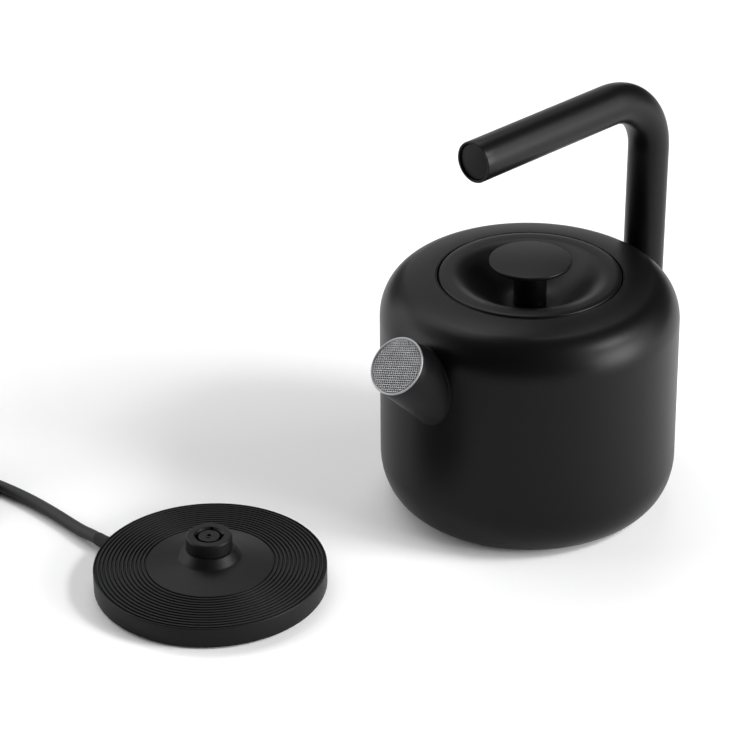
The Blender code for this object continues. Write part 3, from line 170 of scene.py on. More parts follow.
# %% The finishes of this kettle
POWDER_COAT = finish("black_powder_coat", (0.0020, 0.0020, 0.0021), (0.0027, 0.0027, 0.0028),
                     (0.35, 0.39), grain=1500, height=0.000012, patch=9, specular=0.145)
MOULDED = finish("black_moulded_plastic", (0.0034, 0.0034, 0.0036), (0.0046, 0.0046, 0.0048),
                 (0.42, 0.50), grain=2600, height=0.000010, patch=22, specular=0.155)
STEEL = finish("bright_steel", (0.52, 0.52, 0.53), (0.64, 0.64, 0.65), (0.20, 0.32), 1.0,
               grain=700, height=0.000006, patch=40, stretch=(1, 1, 6))
RIM_STEEL = finish("brushed_rim", (0.27, 0.27, 0.28), (0.35, 0.35, 0.36), (0.42, 0.52), 1.0,
                   grain=900, height=0.000008, patch=60)
WIRE = finish("woven_wire", (0.50, 0.50, 0.51), (0.66, 0.66, 0.67), (0.28, 0.42), 1.0,
              grain=3000, height=0.000006, patch=260)
SHEATH = finish("cord_sheath", (0.0060, 0.0060, 0.0060), (0.0085, 0.0085, 0.0085), (0.44, 0.54),
                grain=2200, height=0.000014, patch=60, specular=0.3)
RUBBER = finish("foot_rubber", (0.010, 0.010, 0.010), (0.016, 0.016, 0.016), (0.70, 0.85),
                grain=1700, height=0.00003, patch=80, specular=0.3)
SILICONE = finish("grey_silicone", (0.26, 0.26, 0.26), (0.34, 0.34, 0.34), (0.50, 0.65),
                  grain=1200, height=0.00001, patch=60)
BRASS = finish("brass", (0.66, 0.46, 0.18), (0.78, 0.57, 0.26), (0.24, 0.40), 1.0,
               grain=1400, height=0.000006, patch=120)
CAST = finish("cast_aluminium", (0.60, 0.60, 0.61), (0.74, 0.74, 0.75), (0.38, 0.55), 1.0,
              grain=600, height=0.00004, patch=50)
INNER = finish("inner_plastic", (0.50, 0.49, 0.46), (0.58, 0.57, 0.54), (0.48, 0.60),
               grain=1500, height=0.00001, patch=40)
print(len(bpy.data.materials), "materials so far")

# %% [markdown]
# ## Working by hand, in code
# An operator acts on whatever is selected, and loading the frame leaves its nodes selected.
# So each piece starts by clearing the selection. Faces and corners are then chosen by where
# they are, as a modeller would click on them.

# %% Selection helpers
def clear_selection():
    if bpy.context.object and bpy.context.object.mode != 'OBJECT':
        bpy.ops.object.mode_set(mode='OBJECT')
    for thing in bpy.context.selected_objects:
        thing.select_set(False)


def only(piece):
    """Make one piece the selected and active one."""
    clear_selection()
    bpy.context.view_layer.objects.active = piece
    piece.select_set(True)


def pick_vertex(piece, place):
    """In edit mode, select just the vertex nearest to a place."""
    bpy.ops.mesh.select_all(action='DESELECT')
    mesh = bmesh.from_edit_mesh(piece.data)
    nearest = min(mesh.verts, key=lambda vert: (vert.co - place).length_squared)
    nearest.select_set(True)
    mesh.select_flush(True)
    bmesh.update_edit_mesh(piece.data)


def settle(piece, location=(0, 0, 0), rotation=(0, 0, 0)):
    """Move a piece to its place, and press that place into its mesh."""
    only(piece)
    piece.location = location
    piece.rotation_euler = rotation
    bpy.ops.object.transform_apply(location=True, rotation=True, scale=True)


def apply_all(piece):
    only(piece)
    for modifier in list(piece.modifiers):
        bpy.ops.object.modifier_apply(modifier=modifier.name)


def smooth(piece, angle=35):
    only(piece)
    bpy.ops.object.shade_smooth_by_angle(angle=math.radians(angle))


def belongs(piece, body, finish_material, slot, *nodes):
    """Give a finished piece its material and its body, and hide the nodes it stands for; slot is not
    used.
    """
    piece.data.materials.clear()
    piece.data.materials.append(finish_material)
    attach(piece, body)
    if nodes:
        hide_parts(*nodes)
    count = len(piece.data.polygons) if piece.type == 'MESH' else len(piece.data.splines)
    print(piece.name, "rides on", body, "with", count, "faces or splines")


# %% [markdown]
# ## Turned pieces
# Most of the kettle is turned: vessel, lid, knob, spout, base and feet. On a lathe you cut one
# outline, and the spindle does the rest. Here a plane is merged to a single point, the point
# is extruded from corner to corner, chosen corners are bevelled round, and Spin carries the
# outline once round the axis. The alternative, a cylinder with loops pushed about, gives no
# exact radii. The spin can turn a shape inside out, so normals are made consistent after the
# doubled seam is merged.

# %% The lathe
def turned(name, outline, steps=160, axis=(0, 0), roundness=3):
    """Spin (radius, height) corners round an upright axis; a third number rounds that corner."""
    clear_selection()
    bpy.ops.mesh.primitive_plane_add(size=0.001)
    piece = bpy.context.object
    piece.name = name
    piece.data.name = name
    bpy.ops.object.mode_set(mode='EDIT')
    bpy.ops.mesh.select_all(action='SELECT')
    bpy.ops.mesh.merge(type='CENTER')
    places = [Vector((axis[0] + corner[0], axis[1], corner[1])) for corner in outline]
    bpy.ops.transform.translate(value=places[0])
    for before, after in zip(places, places[1:]):
        bpy.ops.mesh.extrude_region_move(TRANSFORM_OT_translate={"value": after - before})
    bpy.ops.mesh.select_all(action='SELECT')
    bpy.ops.mesh.remove_doubles(threshold=0.000001)
    for corner, place in zip(outline, places):
        if len(corner) > 2:
            pick_vertex(piece, place)
            bpy.ops.mesh.bevel(offset=corner[2], segments=roundness, affect='VERTICES')
    bpy.ops.mesh.select_all(action='SELECT')
    bpy.ops.mesh.spin(steps=steps, angle=math.tau, center=(axis[0], axis[1], 0), axis=(0, 0, 1))
    bpy.ops.mesh.select_all(action='SELECT')
    bpy.ops.mesh.remove_doubles(threshold=0.000001)
    bpy.ops.mesh.normals_make_consistent(inside=False)
    bpy.ops.object.mode_set(mode='OBJECT')
    smooth(piece)
    return piece


def boolean(piece, other, operation='DIFFERENCE'):
    """Cut a piece with another, or join them, and remove the tool."""
    cut = piece.modifiers.new("cut", 'BOOLEAN')
    cut.operation = operation
    cut.object = other
    apply_all(piece)
    bpy.data.objects.remove(other, do_unlink=True)


def arc(centre, radii, start, end, steps):
    """Points on part of an ellipse, from one angle to another."""
    points = []
    for step in range(steps + 1):
        angle = math.radians(start + (end - start) * step / steps)
        points.append((centre[0] + radii[0] * math.cos(angle),
                       centre[1] + radii[1] * math.sin(angle)))
    return points


# %% [markdown]
# ## Floor and light
# A plain pale floor and soft studio light. Black satin metal is lit less by lamps than by
# what it mirrors, so a ring of softboxes stands round the table and each of them draws one
# soft patch on the vessel. The strong low one at the front right models the wall, the ones on
# the left edge it, and the high ones behind light the top, the lid and the base. Nothing
# stands high in front, which keeps the hollow under the shoulder deep black. The table below
# isn't a design: lamps all round were rendered one at a time, and a separate least-squares
# program chose which to keep and how strong, rounded here. Then the two at the front right and
# the upper one on the right were changed, and the last patch was added.

# %% The floor
def make_floor():
    clear_selection()
    bpy.ops.mesh.primitive_plane_add(size=14)
    made = bpy.context.object
    made.name = "floor"
    settle(made, location=(0, 0, -0.0003))
    return made


floor = make_floor()
FLOOR_PAINT = finish("pale_floor", (0.94, 0.94, 0.94), (0.95, 0.95, 0.95), (0.75, 0.85),
                     grain=300, height=0.00001, patch=3, specular=0.2)
floor.data.materials.append(FLOOR_PAINT)
print("floor made")


# %% Softboxes
def softbox(name, place, aim_at, size, power):
    """A rectangular lamp that faces a point."""
    data = bpy.data.lights.new(name, 'AREA')
    data.shape = 'RECTANGLE'
    data.size, data.size_y = size
    data.energy = power
    lamp = bpy.data.objects.new(name, data)
    bpy.context.scene.collection.objects.link(lamp)
    lamp.location = place
    facing = (Vector(aim_at) - Vector(place)).to_track_quat('-Z', 'Y')
    lamp.rotation_euler = facing.to_euler()


def around(bearing, elevation, distance=2.2):
    """A place round the kettle: bearing 0 is straight behind it for the camera, 90 its left."""
    angle, rise = CAMERA_HEADING + math.radians(bearing), math.radians(elevation)
    flat = distance * math.cos(rise)
    return pot_middle + Vector((flat * math.cos(angle), flat * math.sin(angle),
                                distance * math.sin(rise)))


pot_middle = KETTLE + Vector((0, 0, 0.09))
SOFTBOXES = (
    ("front_right_low", -114, 12, 56.0), ("front_right", -120, 32, 5.0),
    ("right_low", -90, 12, 6.5), ("right", -90, 32, 6.0), ("behind_low", 0, 12, 3.6),
    ("back_left_low", 60, 12, 6.5), ("left_low", 90, 12, 15.0), ("back_left", 60, 32, 7.1),
    ("left", 90, 32, 2.5), ("back", 30, 32, 2.0), ("behind_high", 0, 55, 10.2),
    ("back_left_high", 45, 55, 10.6),
)
for name, bearing, elevation, power in SOFTBOXES:
    softbox(name, around(bearing, elevation), pot_middle, (1.1, 1.0), power)
softbox("shoulder_patch", around(-106, 42, 1.8), pot_middle, (0.5, 0.35), 18)

world = bpy.data.worlds.new("studio")
world.use_nodes = True
world.node_tree.nodes["Background"].inputs["Color"].default_value = (1, 1, 1, 1)
world.node_tree.nodes["Background"].inputs["Strength"].default_value = 0.06
bpy.context.scene.world = world
bpy.context.scene.view_settings.view_transform = 'Standard'

# %% [markdown]
# ## The mains lead
# A kettle base like this has about 0.75 m of 7.5 mm round lead, and most of it is put away. It
# leaves the base level, sinks to the table within a few diameters and lies there in one
# relaxed curve. The rest is a neat tied coil out of view, and the plug lies beside it. One
# Bezier spline with automatic handles makes the whole lead a single smooth curve. The free
# points are listed, and the coil's are worked out, a turn at a time.

# %% The lead's route, from the base's axis
CORD_R = 0.00375
EXIT = Vector((-0.0204, 0.0560, 0.0058))
CORD_ROUTE = (
    (-0.0204, 0.0783, 0.0058), (-0.0204, 0.0850, 0.0055), (-0.0201, 0.0915, 0.0046),
    (-0.0196, 0.0980, 0.0040), (-0.0192, 0.1060, 0.0038), (-0.0188, 0.1150, 0.0038),
    (-0.0186, 0.1270, 0.0038), (-0.0187, 0.1380, 0.0038), (-0.0193, 0.1490, 0.0038),
    (-0.0204, 0.1600, 0.0038), (-0.0221, 0.1710, 0.0039), (-0.0243, 0.1800, 0.0043),
)
PLUG_LEAD = (
    (-0.1010, 0.2457, 0.0198), (-0.1090, 0.2428, 0.0192), (-0.1170, 0.2393, 0.0188),
    (-0.1245, 0.2350, 0.0186),
)
COIL = Vector((-0.0690, 0.2080, 0.0052))
COIL_R = 0.0400
LAYER_STEP = 0.0077
COIL_TURNS = 2.25
TURN_POINTS = 16


def coil_height(angle):
    """The lead climbs one layer over the last sixth of each turn."""
    turns = angle / math.tau
    whole = math.floor(turns)
    climb = max(0.0, (turns - whole - 5 / 6) * 6)
    return COIL.z + LAYER_STEP * (whole + climb * climb * (3 - 2 * climb))


def coil_points():
    points = []
    count = round(COIL_TURNS * TURN_POINTS)
    for step in range(1, count):
        angle = math.tau * COIL_TURNS * step / count
        points.append((COIL.x + COIL_R * math.cos(angle), COIL.y + COIL_R * math.sin(angle),
                       coil_height(angle)))
    return points


route = [BASE + Vector(point) for point in CORD_ROUTE + tuple(coil_points()) + PLUG_LEAD]
print(len(route), "points on the lead")

# %% Draw the lead
def lay_cord(name, points):
    curve = bpy.data.curves.new(name, 'CURVE')
    curve.dimensions = '3D'
    curve.bevel_depth = CORD_R
    curve.bevel_resolution = 5
    curve.resolution_u = 8
    curve.use_fill_caps = True
    spline = curve.splines.new('BEZIER')
    spline.bezier_points.add(len(points) - 1)
    for place, point in zip(points, spline.bezier_points):
        point.co = place
        point.handle_left_type = point.handle_right_type = 'AUTO'
    made = bpy.data.objects.new(name, curve)
    bpy.context.scene.collection.objects.link(made)
    return made


mains_lead = lay_cord("mains_lead", route)
belongs(mains_lead, "power_base", SHEATH, "cord_rubber", "mains_cord", "cord_coil", "plug_lead")

# %% [markdown]
# ## Strain relief
# A short rubber sleeve keeps the lead from kinking where it leaves the base. It is turned
# like the rest: a flange that sits inside the wall, a neck through it, and a smooth taper
# down to the lead's own thickness. It is turned upright, and then laid down along the lead.

# %% Turn the strain relief
RELIEF_LENGTH = 0.0220
RELIEF_IN_WALL = 0.0098
FLANGE_R, NECK_R, TIP_R = 0.0048, 0.0044, 0.0040


def relief_outline(taper_steps=8):
    outline = [(0, 0), (FLANGE_R, 0, 0.0004), (FLANGE_R, 0.0020, 0.0003), (NECK_R, 0.0021)]
    outline.append((NECK_R, RELIEF_IN_WALL))
    for step in range(1, taper_steps):
        share = step / taper_steps
        soft = share * share * (3 - 2 * share)
        outline.append((NECK_R - (NECK_R - TIP_R) * soft,
                        RELIEF_IN_WALL + (RELIEF_LENGTH - RELIEF_IN_WALL) * share))
    outline += [(TIP_R, RELIEF_LENGTH, 0.0002), (0, RELIEF_LENGTH)]
    return outline


strain_relief = turned("relief_sleeve", relief_outline(), steps=64, roundness=2)
settle(strain_relief, BASE + EXIT, (-math.pi / 2, 0, 0))
belongs(strain_relief, "power_base", RUBBER, "cord_rubber", "strain_relief")

# %% [markdown]
# ## The tie
# A soft rubber strap holds the coil where two turns lie on each other. It starts as a cuboid
# standing across the coil; its two ends are inset and bridged, which opens it into a band, and
# its edges are bevelled.

# %% Wrap the tie
TIE_TURN = math.radians(200)
TIE_ACROSS, TIE_ALONG = 0.0107, 0.0080
TIE_OVER_LEAD, TIE_THICK = 0.0016, 0.0009


def make_tie():
    low, top = lowest("cord_tie"), COIL.z + LAYER_STEP + CORD_R + TIE_OVER_LEAD
    direction = Vector((math.cos(TIE_TURN), math.sin(TIE_TURN), 0))
    place = BASE + Vector((COIL.x, COIL.y, 0)) + direction * COIL_R
    clear_selection()
    bpy.ops.mesh.primitive_cube_add(size=1)
    made = bpy.context.object
    made.name = made.data.name = "coil_tie"
    made.scale = (TIE_ACROSS, TIE_ALONG, top - low)
    bpy.ops.object.transform_apply(location=False, rotation=False, scale=True)
    bpy.ops.object.mode_set(mode='EDIT')
    bpy.ops.mesh.select_all(action='DESELECT')
    bpy.ops.mesh.select_mode(type='FACE')
    mesh = bmesh.from_edit_mesh(made.data)
    for face in mesh.faces:
        face.select_set(abs(face.normal.y) > 0.9)
    bmesh.update_edit_mesh(made.data)
    bpy.ops.mesh.inset(thickness=TIE_THICK)
    bpy.ops.mesh.bridge_edge_loops()
    bpy.ops.mesh.select_mode(type='VERT')
    bpy.ops.object.mode_set(mode='OBJECT')
    settle(made, place + Vector((0, 0, (low + top) / 2)), (0, 0, TIE_TURN))
    edges = made.modifiers.new("soft_edges", 'BEVEL')
    edges.width = 0.0004
    edges.segments = 3
    edges.limit_method = 'ANGLE'
    apply_all(made)
    smooth(made, 50)
    return made


coil_tie = make_tie()
belongs(coil_tie, "power_base", RUBBER, "cord_rubber", "cord_tie")

# %% [markdown]
# ## The plug
# A round earthed two-pin plug, the usual one for a lead like this. Its body is turned: a wide
# disc, a waist to pull it by and a ribbed neck. Two slots in its rim hold the earth strips.
# Everything is made upright on the plug's own axis, and then laid on the table together.

# %% Plug sizes and pose
PLUG_TURN = math.radians(212)
PLUG_R = 0.0183
NECK_H, SHOULDER_H, DISC_H = 0.0200, 0.0100, 0.0200
PLUG_FACE = NECK_H + SHOULDER_H + DISC_H
plug_heading = Vector((math.cos(PLUG_TURN), math.sin(PLUG_TURN), 0))
plug_rear = BASE + Vector(PLUG_LEAD[-1]) + plug_heading * 0.0003
plug_rear.z = PLUG_R
LAID_DOWN = (0, math.pi / 2, PLUG_TURN)


def neck_outline():
    outline = []
    for number in range(4):
        low = 0.0030 + 0.0034 * number
        radius = 0.00520 + 0.0004 * number
        outline += [(radius, low, 0.0002), (radius, low + 0.0022, 0.0002),
                    (radius - 0.0006, low + 0.0024), (radius - 0.0006, low + 0.0032)]
    return outline


def plug_outline():
    waist = NECK_H + SHOULDER_H
    outline = [(0, 0), (CORD_R + 0.0009, 0, 0.0003)] + neck_outline()
    outline += [(0.0076, NECK_H - 0.0022, 0.0006), (0.0124, NECK_H + 0.0030, 0.0030)]
    outline += [(PLUG_R - 0.0016, waist - 0.0020, 0.0015), (PLUG_R, waist + 0.0020, 0.0012)]
    outline += [(PLUG_R, PLUG_FACE, 0.0010), (PLUG_R - 0.0024, PLUG_FACE, 0.0002)]
    outline += [(PLUG_R - 0.0026, PLUG_FACE - 0.0002), (0, PLUG_FACE - 0.0002)]
    return outline


def box_tool(low, high):
    """A plain cuboid to cut with, between two corners."""
    clear_selection()
    middle_place = [(a + b) / 2 for a, b in zip(low, high)]
    bpy.ops.mesh.primitive_cube_add(size=1, location=middle_place)
    tool = bpy.context.object
    tool.scale = [b - a for a, b in zip(low, high)]
    bpy.ops.object.transform_apply(location=True, rotation=False, scale=True)
    return tool


def round_edges(piece, width, segments=3, angle=30):
    """Round a piece's sharp edges by a small bevel."""
    edges = piece.modifiers.new("round_edges", 'BEVEL')
    edges.width = width
    edges.segments = segments
    edges.limit_method = 'ANGLE'
    edges.angle_limit = math.radians(angle)
    apply_all(piece)


plug_body = turned("plug_shell", plug_outline(), steps=96)
for side in (-1, 1):
    inner, outer = side * (PLUG_R - 0.0022), side * (PLUG_R + 0.003)
    boolean(plug_body, box_tool((-0.0040, min(inner, outer), PLUG_FACE - 0.0180),
                                (0.0040, max(inner, outer), PLUG_FACE + 0.003)))
smooth(plug_body)
settle(plug_body, plug_rear, LAID_DOWN)
belongs(plug_body, "power_base", MOULDED, "cord_rubber", "plug_body")

# %% Pins and earth strips
PIN_R, PIN_LENGTH, PIN_SPACING = 0.0024, 0.0190, 0.0190
plug_parts = [plug_body, strain_relief, coil_tie]
for number, side in ((1, 1), (2, -1)):
    root = PLUG_FACE + 0.0003
    pin = turned(f"pin_{number}", [(0, root), (PIN_R, root), (PIN_R, root + PIN_LENGTH, 0.0014),
                                   (0, root + PIN_LENGTH)], steps=32)
    settle(pin, (side * PIN_SPACING / 2, 0, 0))
    settle(pin, plug_rear, LAID_DOWN)
    belongs(pin, "power_base", STEEL, "bright_steel", f"plug_pin_{number}")
    strip_low = PLUG_R - 0.0019
    strip = box_tool((-0.0030, min(side * strip_low, side * (strip_low + 0.0009)),
                      PLUG_FACE - 0.0160),
                     (0.0030, max(side * strip_low, side * (strip_low + 0.0009)),
                      PLUG_FACE - 0.0010))
    strip.name = strip.data.name = f"earth_strip_{number}"
    round_edges(strip, 0.0003)
    smooth(strip)
    settle(strip, plug_rear, LAID_DOWN)
    belongs(strip, "power_base", STEEL, "bright_steel", f"earth_clip_{number}")
    plug_parts += [pin, strip]

# %% [markdown]
# ## The vessel
# The pot is a pressed and welded steel shell, 1.2 mm thick. Its top falls away from the lid by
# about nine degrees, rolls over an elliptical shoulder into an upright wall, and turns in
# under itself at the bottom. The shell is one turned outline, outer side and inner side, so
# the wall has its real thickness at every opening. The upright wall gets extra corners, so
# that the cuts for the spout and the lever stay clean.

# %% Outline of the vessel
WALL = 0.0012
SEAM_GAP = 0.0010
LID_CROWN = 0.0006
SEAM_Z = highest("lid_dish") - LID_CROWN
SEAM_R = half_width("lid_dish") + SEAM_GAP / 2
TOP_SLOPE = math.radians(8.8)
SHOULDER = (0.0202, 0.0248)
CORNER = (0.0200, 0.0295)
BOTTOM_OPEN_R = BODY_R - CORNER[0] + 0.0035
RING_WALL = 0.0006
SHELL_OPEN_R = SEAM_R + SEAM_GAP / 2 + RING_WALL + 0.0001


def top_height(radius):
    return SEAM_Z - (radius - SEAM_R) * math.tan(TOP_SLOPE)


def vessel_side(inset, wall_steps=18, arc_steps=26):
    """One side of the vessel's wall, from the lid opening down to the lower edge."""
    centre_x = BODY_R - SHOULDER[0]
    start = math.atan2(SHOULDER[1], SHOULDER[0] * math.tan(TOP_SLOPE))
    meet_x = centre_x + SHOULDER[0] * math.cos(start)
    centre_z = top_height(meet_x) - SHOULDER[1] * math.sin(start)
    points = [(SHELL_OPEN_R, top_height(SHELL_OPEN_R) - inset)]
    points += arc((centre_x, centre_z), (SHOULDER[0] - inset, SHOULDER[1] - inset),
                  math.degrees(start), 0, arc_steps)
    wall_r = BODY_R - inset
    for step in range(1, wall_steps):
        points.append((wall_r, centre_z + (CORNER[1] - centre_z) * step / wall_steps))
    corner_x = BODY_R - CORNER[0]
    end = math.degrees(math.acos((BOTTOM_OPEN_R - corner_x) / (CORNER[0] - inset)))
    points += arc((corner_x, CORNER[1]), (CORNER[0] - inset, CORNER[1] - inset), 0, -end,
                  arc_steps)
    return points


outer_side = vessel_side(0)
inner_side = vessel_side(WALL, arc_steps=12)
envelope = [(0, outer_side[0][1])] + outer_side + [(0, outer_side[-1][1])]
print(len(outer_side) + len(inner_side), "corners in the vessel's outline")

# %% Spin the vessel
lip = [(*outer_side[0], 0.0005)]
vessel = turned("vessel", lip + outer_side[1:] + inner_side[::-1] + [outer_side[0]], 192, KETTLE)
print("vessel faces", len(vessel.data.polygons))

# %% [markdown]
# ## The spout
# The spout is a short tapered tube that rises at about 42 degrees. It is turned upright round
# its own axis with its mouth at height zero, tipped over, and trimmed to the vessel's wall by
# a slightly smaller copy of the vessel. The same cone, as a tool, opens the vessel's wall.

# %% Spout sizes and pose
SPOUT_TILT = math.radians(41.9)
MOUTH_R = 0.0178
TAPER = 0.0418
SPOUT_LENGTH = 0.0560
MOUTH = KETTLE + Vector((-BODY_R - 0.0227, 0, SEAM_Z - 0.0179))
SPOUT_POSE = (0, SPOUT_TILT - math.pi / 2, 0)
spout_matrix = Matrix.Translation(MOUTH) @ Matrix.Rotation(SPOUT_POSE[1], 4, 'Y')


def spout_radius(depth):
    return MOUTH_R + TAPER * depth


# %% Open the vessel for the spout
def bore_tool():
    reach = SPOUT_LENGTH + 0.004
    tool = turned("spout_bore", [(0, 0.004), (MOUTH_R - WALL, 0.004),
                                 (spout_radius(reach) - WALL, -reach), (0, -reach)], 96)
    settle(tool, MOUTH, SPOUT_POSE)
    return tool


boolean(vessel, bore_tool())
print("spout hole cut")

# %% Turn the spout and trim it to the vessel
def make_spout():
    start = 0.0008
    outline = [(MOUTH_R - WALL, -start, 0.0002), (spout_radius(start), -start, 0.0004)]
    rows = 10
    for row in range(1, rows + 1):
        depth = start + (SPOUT_LENGTH - start) * row / rows
        outline.append((spout_radius(depth), -depth))
    outline.append((spout_radius(SPOUT_LENGTH) - WALL, -SPOUT_LENGTH))
    outline.append((MOUTH_R - WALL, -start))
    tube = turned("spout_pipe", outline, 128)
    settle(tube, MOUTH, SPOUT_POSE)
    shrunk = [(max(0.0, radius - 0.0002), height - 0.0002) for radius, height in envelope]
    boolean(tube, turned("vessel_envelope", shrunk, 192, KETTLE))
    smooth(tube)
    return tube


spout_pipe = make_spout()
belongs(spout_pipe, "kettle", POWDER_COAT, "powder_coat", "spout_tube")

# %% [markdown]
# ## The seam round the spout
# Where the spout meets the pot there is a hair-thin raised seam under the paint. It follows
# the curve where a cone meets a round wall. Rays cast along the cone, from the mouth towards
# the vessel, find that curve exactly, and a thin round wire follows it.

# %% Find the joint and draw its seam
SEAM_WIRE_R = 0.0005


def spout_joint(count=96):
    target = turned("joint_target", envelope, 192, KETTLE)
    graph = bpy.context.evaluated_depsgraph_get()
    tree = BVHTree.FromObject(target, graph)
    points = []
    for step in range(count):
        angle = math.tau * step / count
        outward = Vector((math.cos(angle), math.sin(angle), 0))
        start = spout_matrix @ (outward * MOUTH_R)
        further = spout_matrix @ (outward * spout_radius(0.05) + Vector((0, 0, -0.05)))
        hit = tree.ray_cast(start, (further - start).normalized())[0]
        points.append(hit)
    bpy.data.objects.remove(target, do_unlink=True)
    return points


def loop_wire(name, points, radius):
    """A closed round wire through points, made a mesh."""
    curve = bpy.data.curves.new(name, 'CURVE')
    curve.dimensions = '3D'
    curve.bevel_depth = radius
    curve.bevel_resolution = 2
    spline = curve.splines.new('POLY')
    spline.points.add(len(points) - 1)
    for place, point in zip(points, spline.points):
        point.co = (*place, 1)
    spline.use_cyclic_u = True
    made = bpy.data.objects.new(name, curve)
    bpy.context.scene.collection.objects.link(made)
    only(made)
    bpy.ops.object.convert(target='MESH')
    made = bpy.context.object
    smooth(made, 60)
    return made


spout_seam = loop_wire("spout_seam", spout_joint(), SEAM_WIRE_R)
belongs(spout_seam, "kettle", POWDER_COAT, "powder_coat")

# %% [markdown]
# ## Rim and woven filter
# A bright steel rim is pressed into the mouth and holds a disc of woven wire that stops
# limescale. A flat disc with a printed grid would look painted on, so the cloth is really
# woven here: each wire is a thin round bar that rises over one crossing wire and dips under
# the next, and the wires of the other direction do the opposite.

# %% Turn the rim
bore_r = MOUTH_R - WALL - 0.0003
rim = turned("filter_rim", [
    (bore_r + 0.0006, 0.0, 0.0002), (MOUTH_R, 0.0, 0.0003), (MOUTH_R, -0.0008, 0.0001),
    (bore_r, -0.0008), (bore_r, -0.0076, 0.0002), (bore_r - 0.0007, -0.0076, 0.0002),
    (bore_r - 0.0007, -0.0011), (bore_r - 0.0001, -0.0009), (bore_r + 0.0006, 0.0)], 128)
settle(rim, MOUTH, SPOUT_POSE)
belongs(rim, "kettle", RIM_STEEL, "bright_steel", "spout_rim")

# %% Weave the filter
PITCH = 0.00141
WIRE_R = 0.00027
CLOTH_R = bore_r - 0.0002
CLOTH_Z = -0.00075
CLOTH_TURN = math.radians(20)


def woven_wire(number, across):
    """Points of one wire. across picks the direction, and with it over before under."""
    offset = number * PITCH
    half = math.sqrt(CLOTH_R ** 2 - offset ** 2)
    steps = max(2, round(2 * half / (PITCH / 6)))
    phase = math.pi * (number + across)
    points = []
    for step in range(steps + 1):
        along = -half + 2 * half * step / steps
        height = CLOTH_Z + WIRE_R * math.cos(math.pi * along / PITCH + phase)
        points.append((along, offset, height) if across else (offset, along, height))
    return points


def weave(name):
    curve = bpy.data.curves.new(name, 'CURVE')
    curve.dimensions = '3D'
    curve.bevel_depth = WIRE_R
    curve.bevel_resolution = 1
    curve.use_fill_caps = True
    count = int(CLOTH_R / PITCH)
    for across in (0, 1):
        for number in range(-count, count + 1):
            points = woven_wire(number, across)
            spline = curve.splines.new('POLY')
            spline.points.add(len(points) - 1)
            for place, point in zip(points, spline.points):
                point.co = (*place, 1)
    made = bpy.data.objects.new(name, curve)
    bpy.context.scene.collection.objects.link(made)
    only(made)
    bpy.ops.object.convert(target='MESH')
    made = bpy.context.object
    settle(made, (0, 0, 0), (0, 0, CLOTH_TURN))
    settle(made, MOUTH, SPOUT_POSE)
    smooth(made, 60)
    return made


filter_cloth = weave("filter_cloth")
belongs(filter_cloth, "kettle", WIRE, "bright_steel", "spout_mesh")

# %% [markdown]
# ## The power lever
# A small paddle sticks out of a window under the handle; pressing it down switches the kettle
# on. It is a flat arm on a hub, with a thicker thumb pad, and shallow grooves across the pad
# give grip. The parts are cuboids and a cylinder with rounded edges, joined into one piece.

# %% Cut the lever's window
LEVER_W = half_width("power_lever") * 2
LEVER_PIN = Vector((KETTLE.x + BODY_R - 0.0180, KETTLE.y, middle("power_lever").z))
ARM_THICK = 0.0036
window = box_tool((KETTLE.x + BODY_R - 0.02, KETTLE.y - LEVER_W / 2 - 0.001, LEVER_PIN.z - 0.0058),
                  (KETTLE.x + BODY_R + 0.02, KETTLE.y + LEVER_W / 2 + 0.001, LEVER_PIN.z + 0.0042))
round_edges(window, 0.0008)
boolean(vessel, window)
smooth(vessel, 30)
belongs(vessel, "kettle", POWDER_COAT, "powder_coat", "body_shell")

# %% Build the lever
ARM_START, ARM_END = -0.0150, 0.0350
PAD_START, PAD_END, PAD_HALF = 0.0240, 0.0370, 0.0030
GRIP_CUTS, FIRST_GRIP_CUT, GRIP_CUT_PITCH = 4, 0.0275, 0.0021
GRIP_CUT_HALF, GRIP_CUT_DEPTH, GRIP_CUT_MARGIN = 0.0004, 0.00035, 0.002
LEVER_HUB_R, LEVER_EYE_R = 0.0040, 0.0018


def lever_block(start, end, half_thick, rounding):
    block = box_tool((LEVER_PIN.x + start, LEVER_PIN.y - LEVER_W / 2, LEVER_PIN.z - half_thick),
                     (LEVER_PIN.x + end, LEVER_PIN.y + LEVER_W / 2, LEVER_PIN.z + half_thick))
    round_edges(block, rounding, segments=4)
    return block


def make_lever():
    lever = lever_block(ARM_START, ARM_END, ARM_THICK / 2, 0.0004)
    lever.name = lever.data.name = "lever_paddle"
    boolean(lever, lever_block(PAD_START, PAD_END, PAD_HALF, 0.0014), 'UNION')
    for number in range(GRIP_CUTS):
        across = LEVER_PIN.x + FIRST_GRIP_CUT + GRIP_CUT_PITCH * number
        groove = box_tool((across - GRIP_CUT_HALF, LEVER_PIN.y - LEVER_W / 2 + GRIP_CUT_MARGIN,
                           LEVER_PIN.z + PAD_HALF - GRIP_CUT_DEPTH),
                          (across + GRIP_CUT_HALF, LEVER_PIN.y + LEVER_W / 2 - GRIP_CUT_MARGIN,
                           LEVER_PIN.z + 0.004))
        boolean(lever, groove)
    hub_half = LEVER_W / 2 - 0.0001
    hub = turned("lever_hub", [(0, hub_half), (LEVER_HUB_R, hub_half),
                               (LEVER_HUB_R, -hub_half), (0, -hub_half)], 48)
    settle(hub, LEVER_PIN, (math.pi / 2, 0, 0))
    boolean(lever, hub, 'UNION')
    eye = turned("lever_eye", [(0, 0.02), (LEVER_EYE_R, 0.02), (LEVER_EYE_R, -0.02), (0, -0.02)], 32)
    settle(eye, LEVER_PIN, (math.pi / 2, 0, 0))
    boolean(lever, eye)
    smooth(lever)
    return lever


power_lever = make_lever()
belongs(power_lever, "power_lever", MOULDED, "base_plastic", "power_lever")

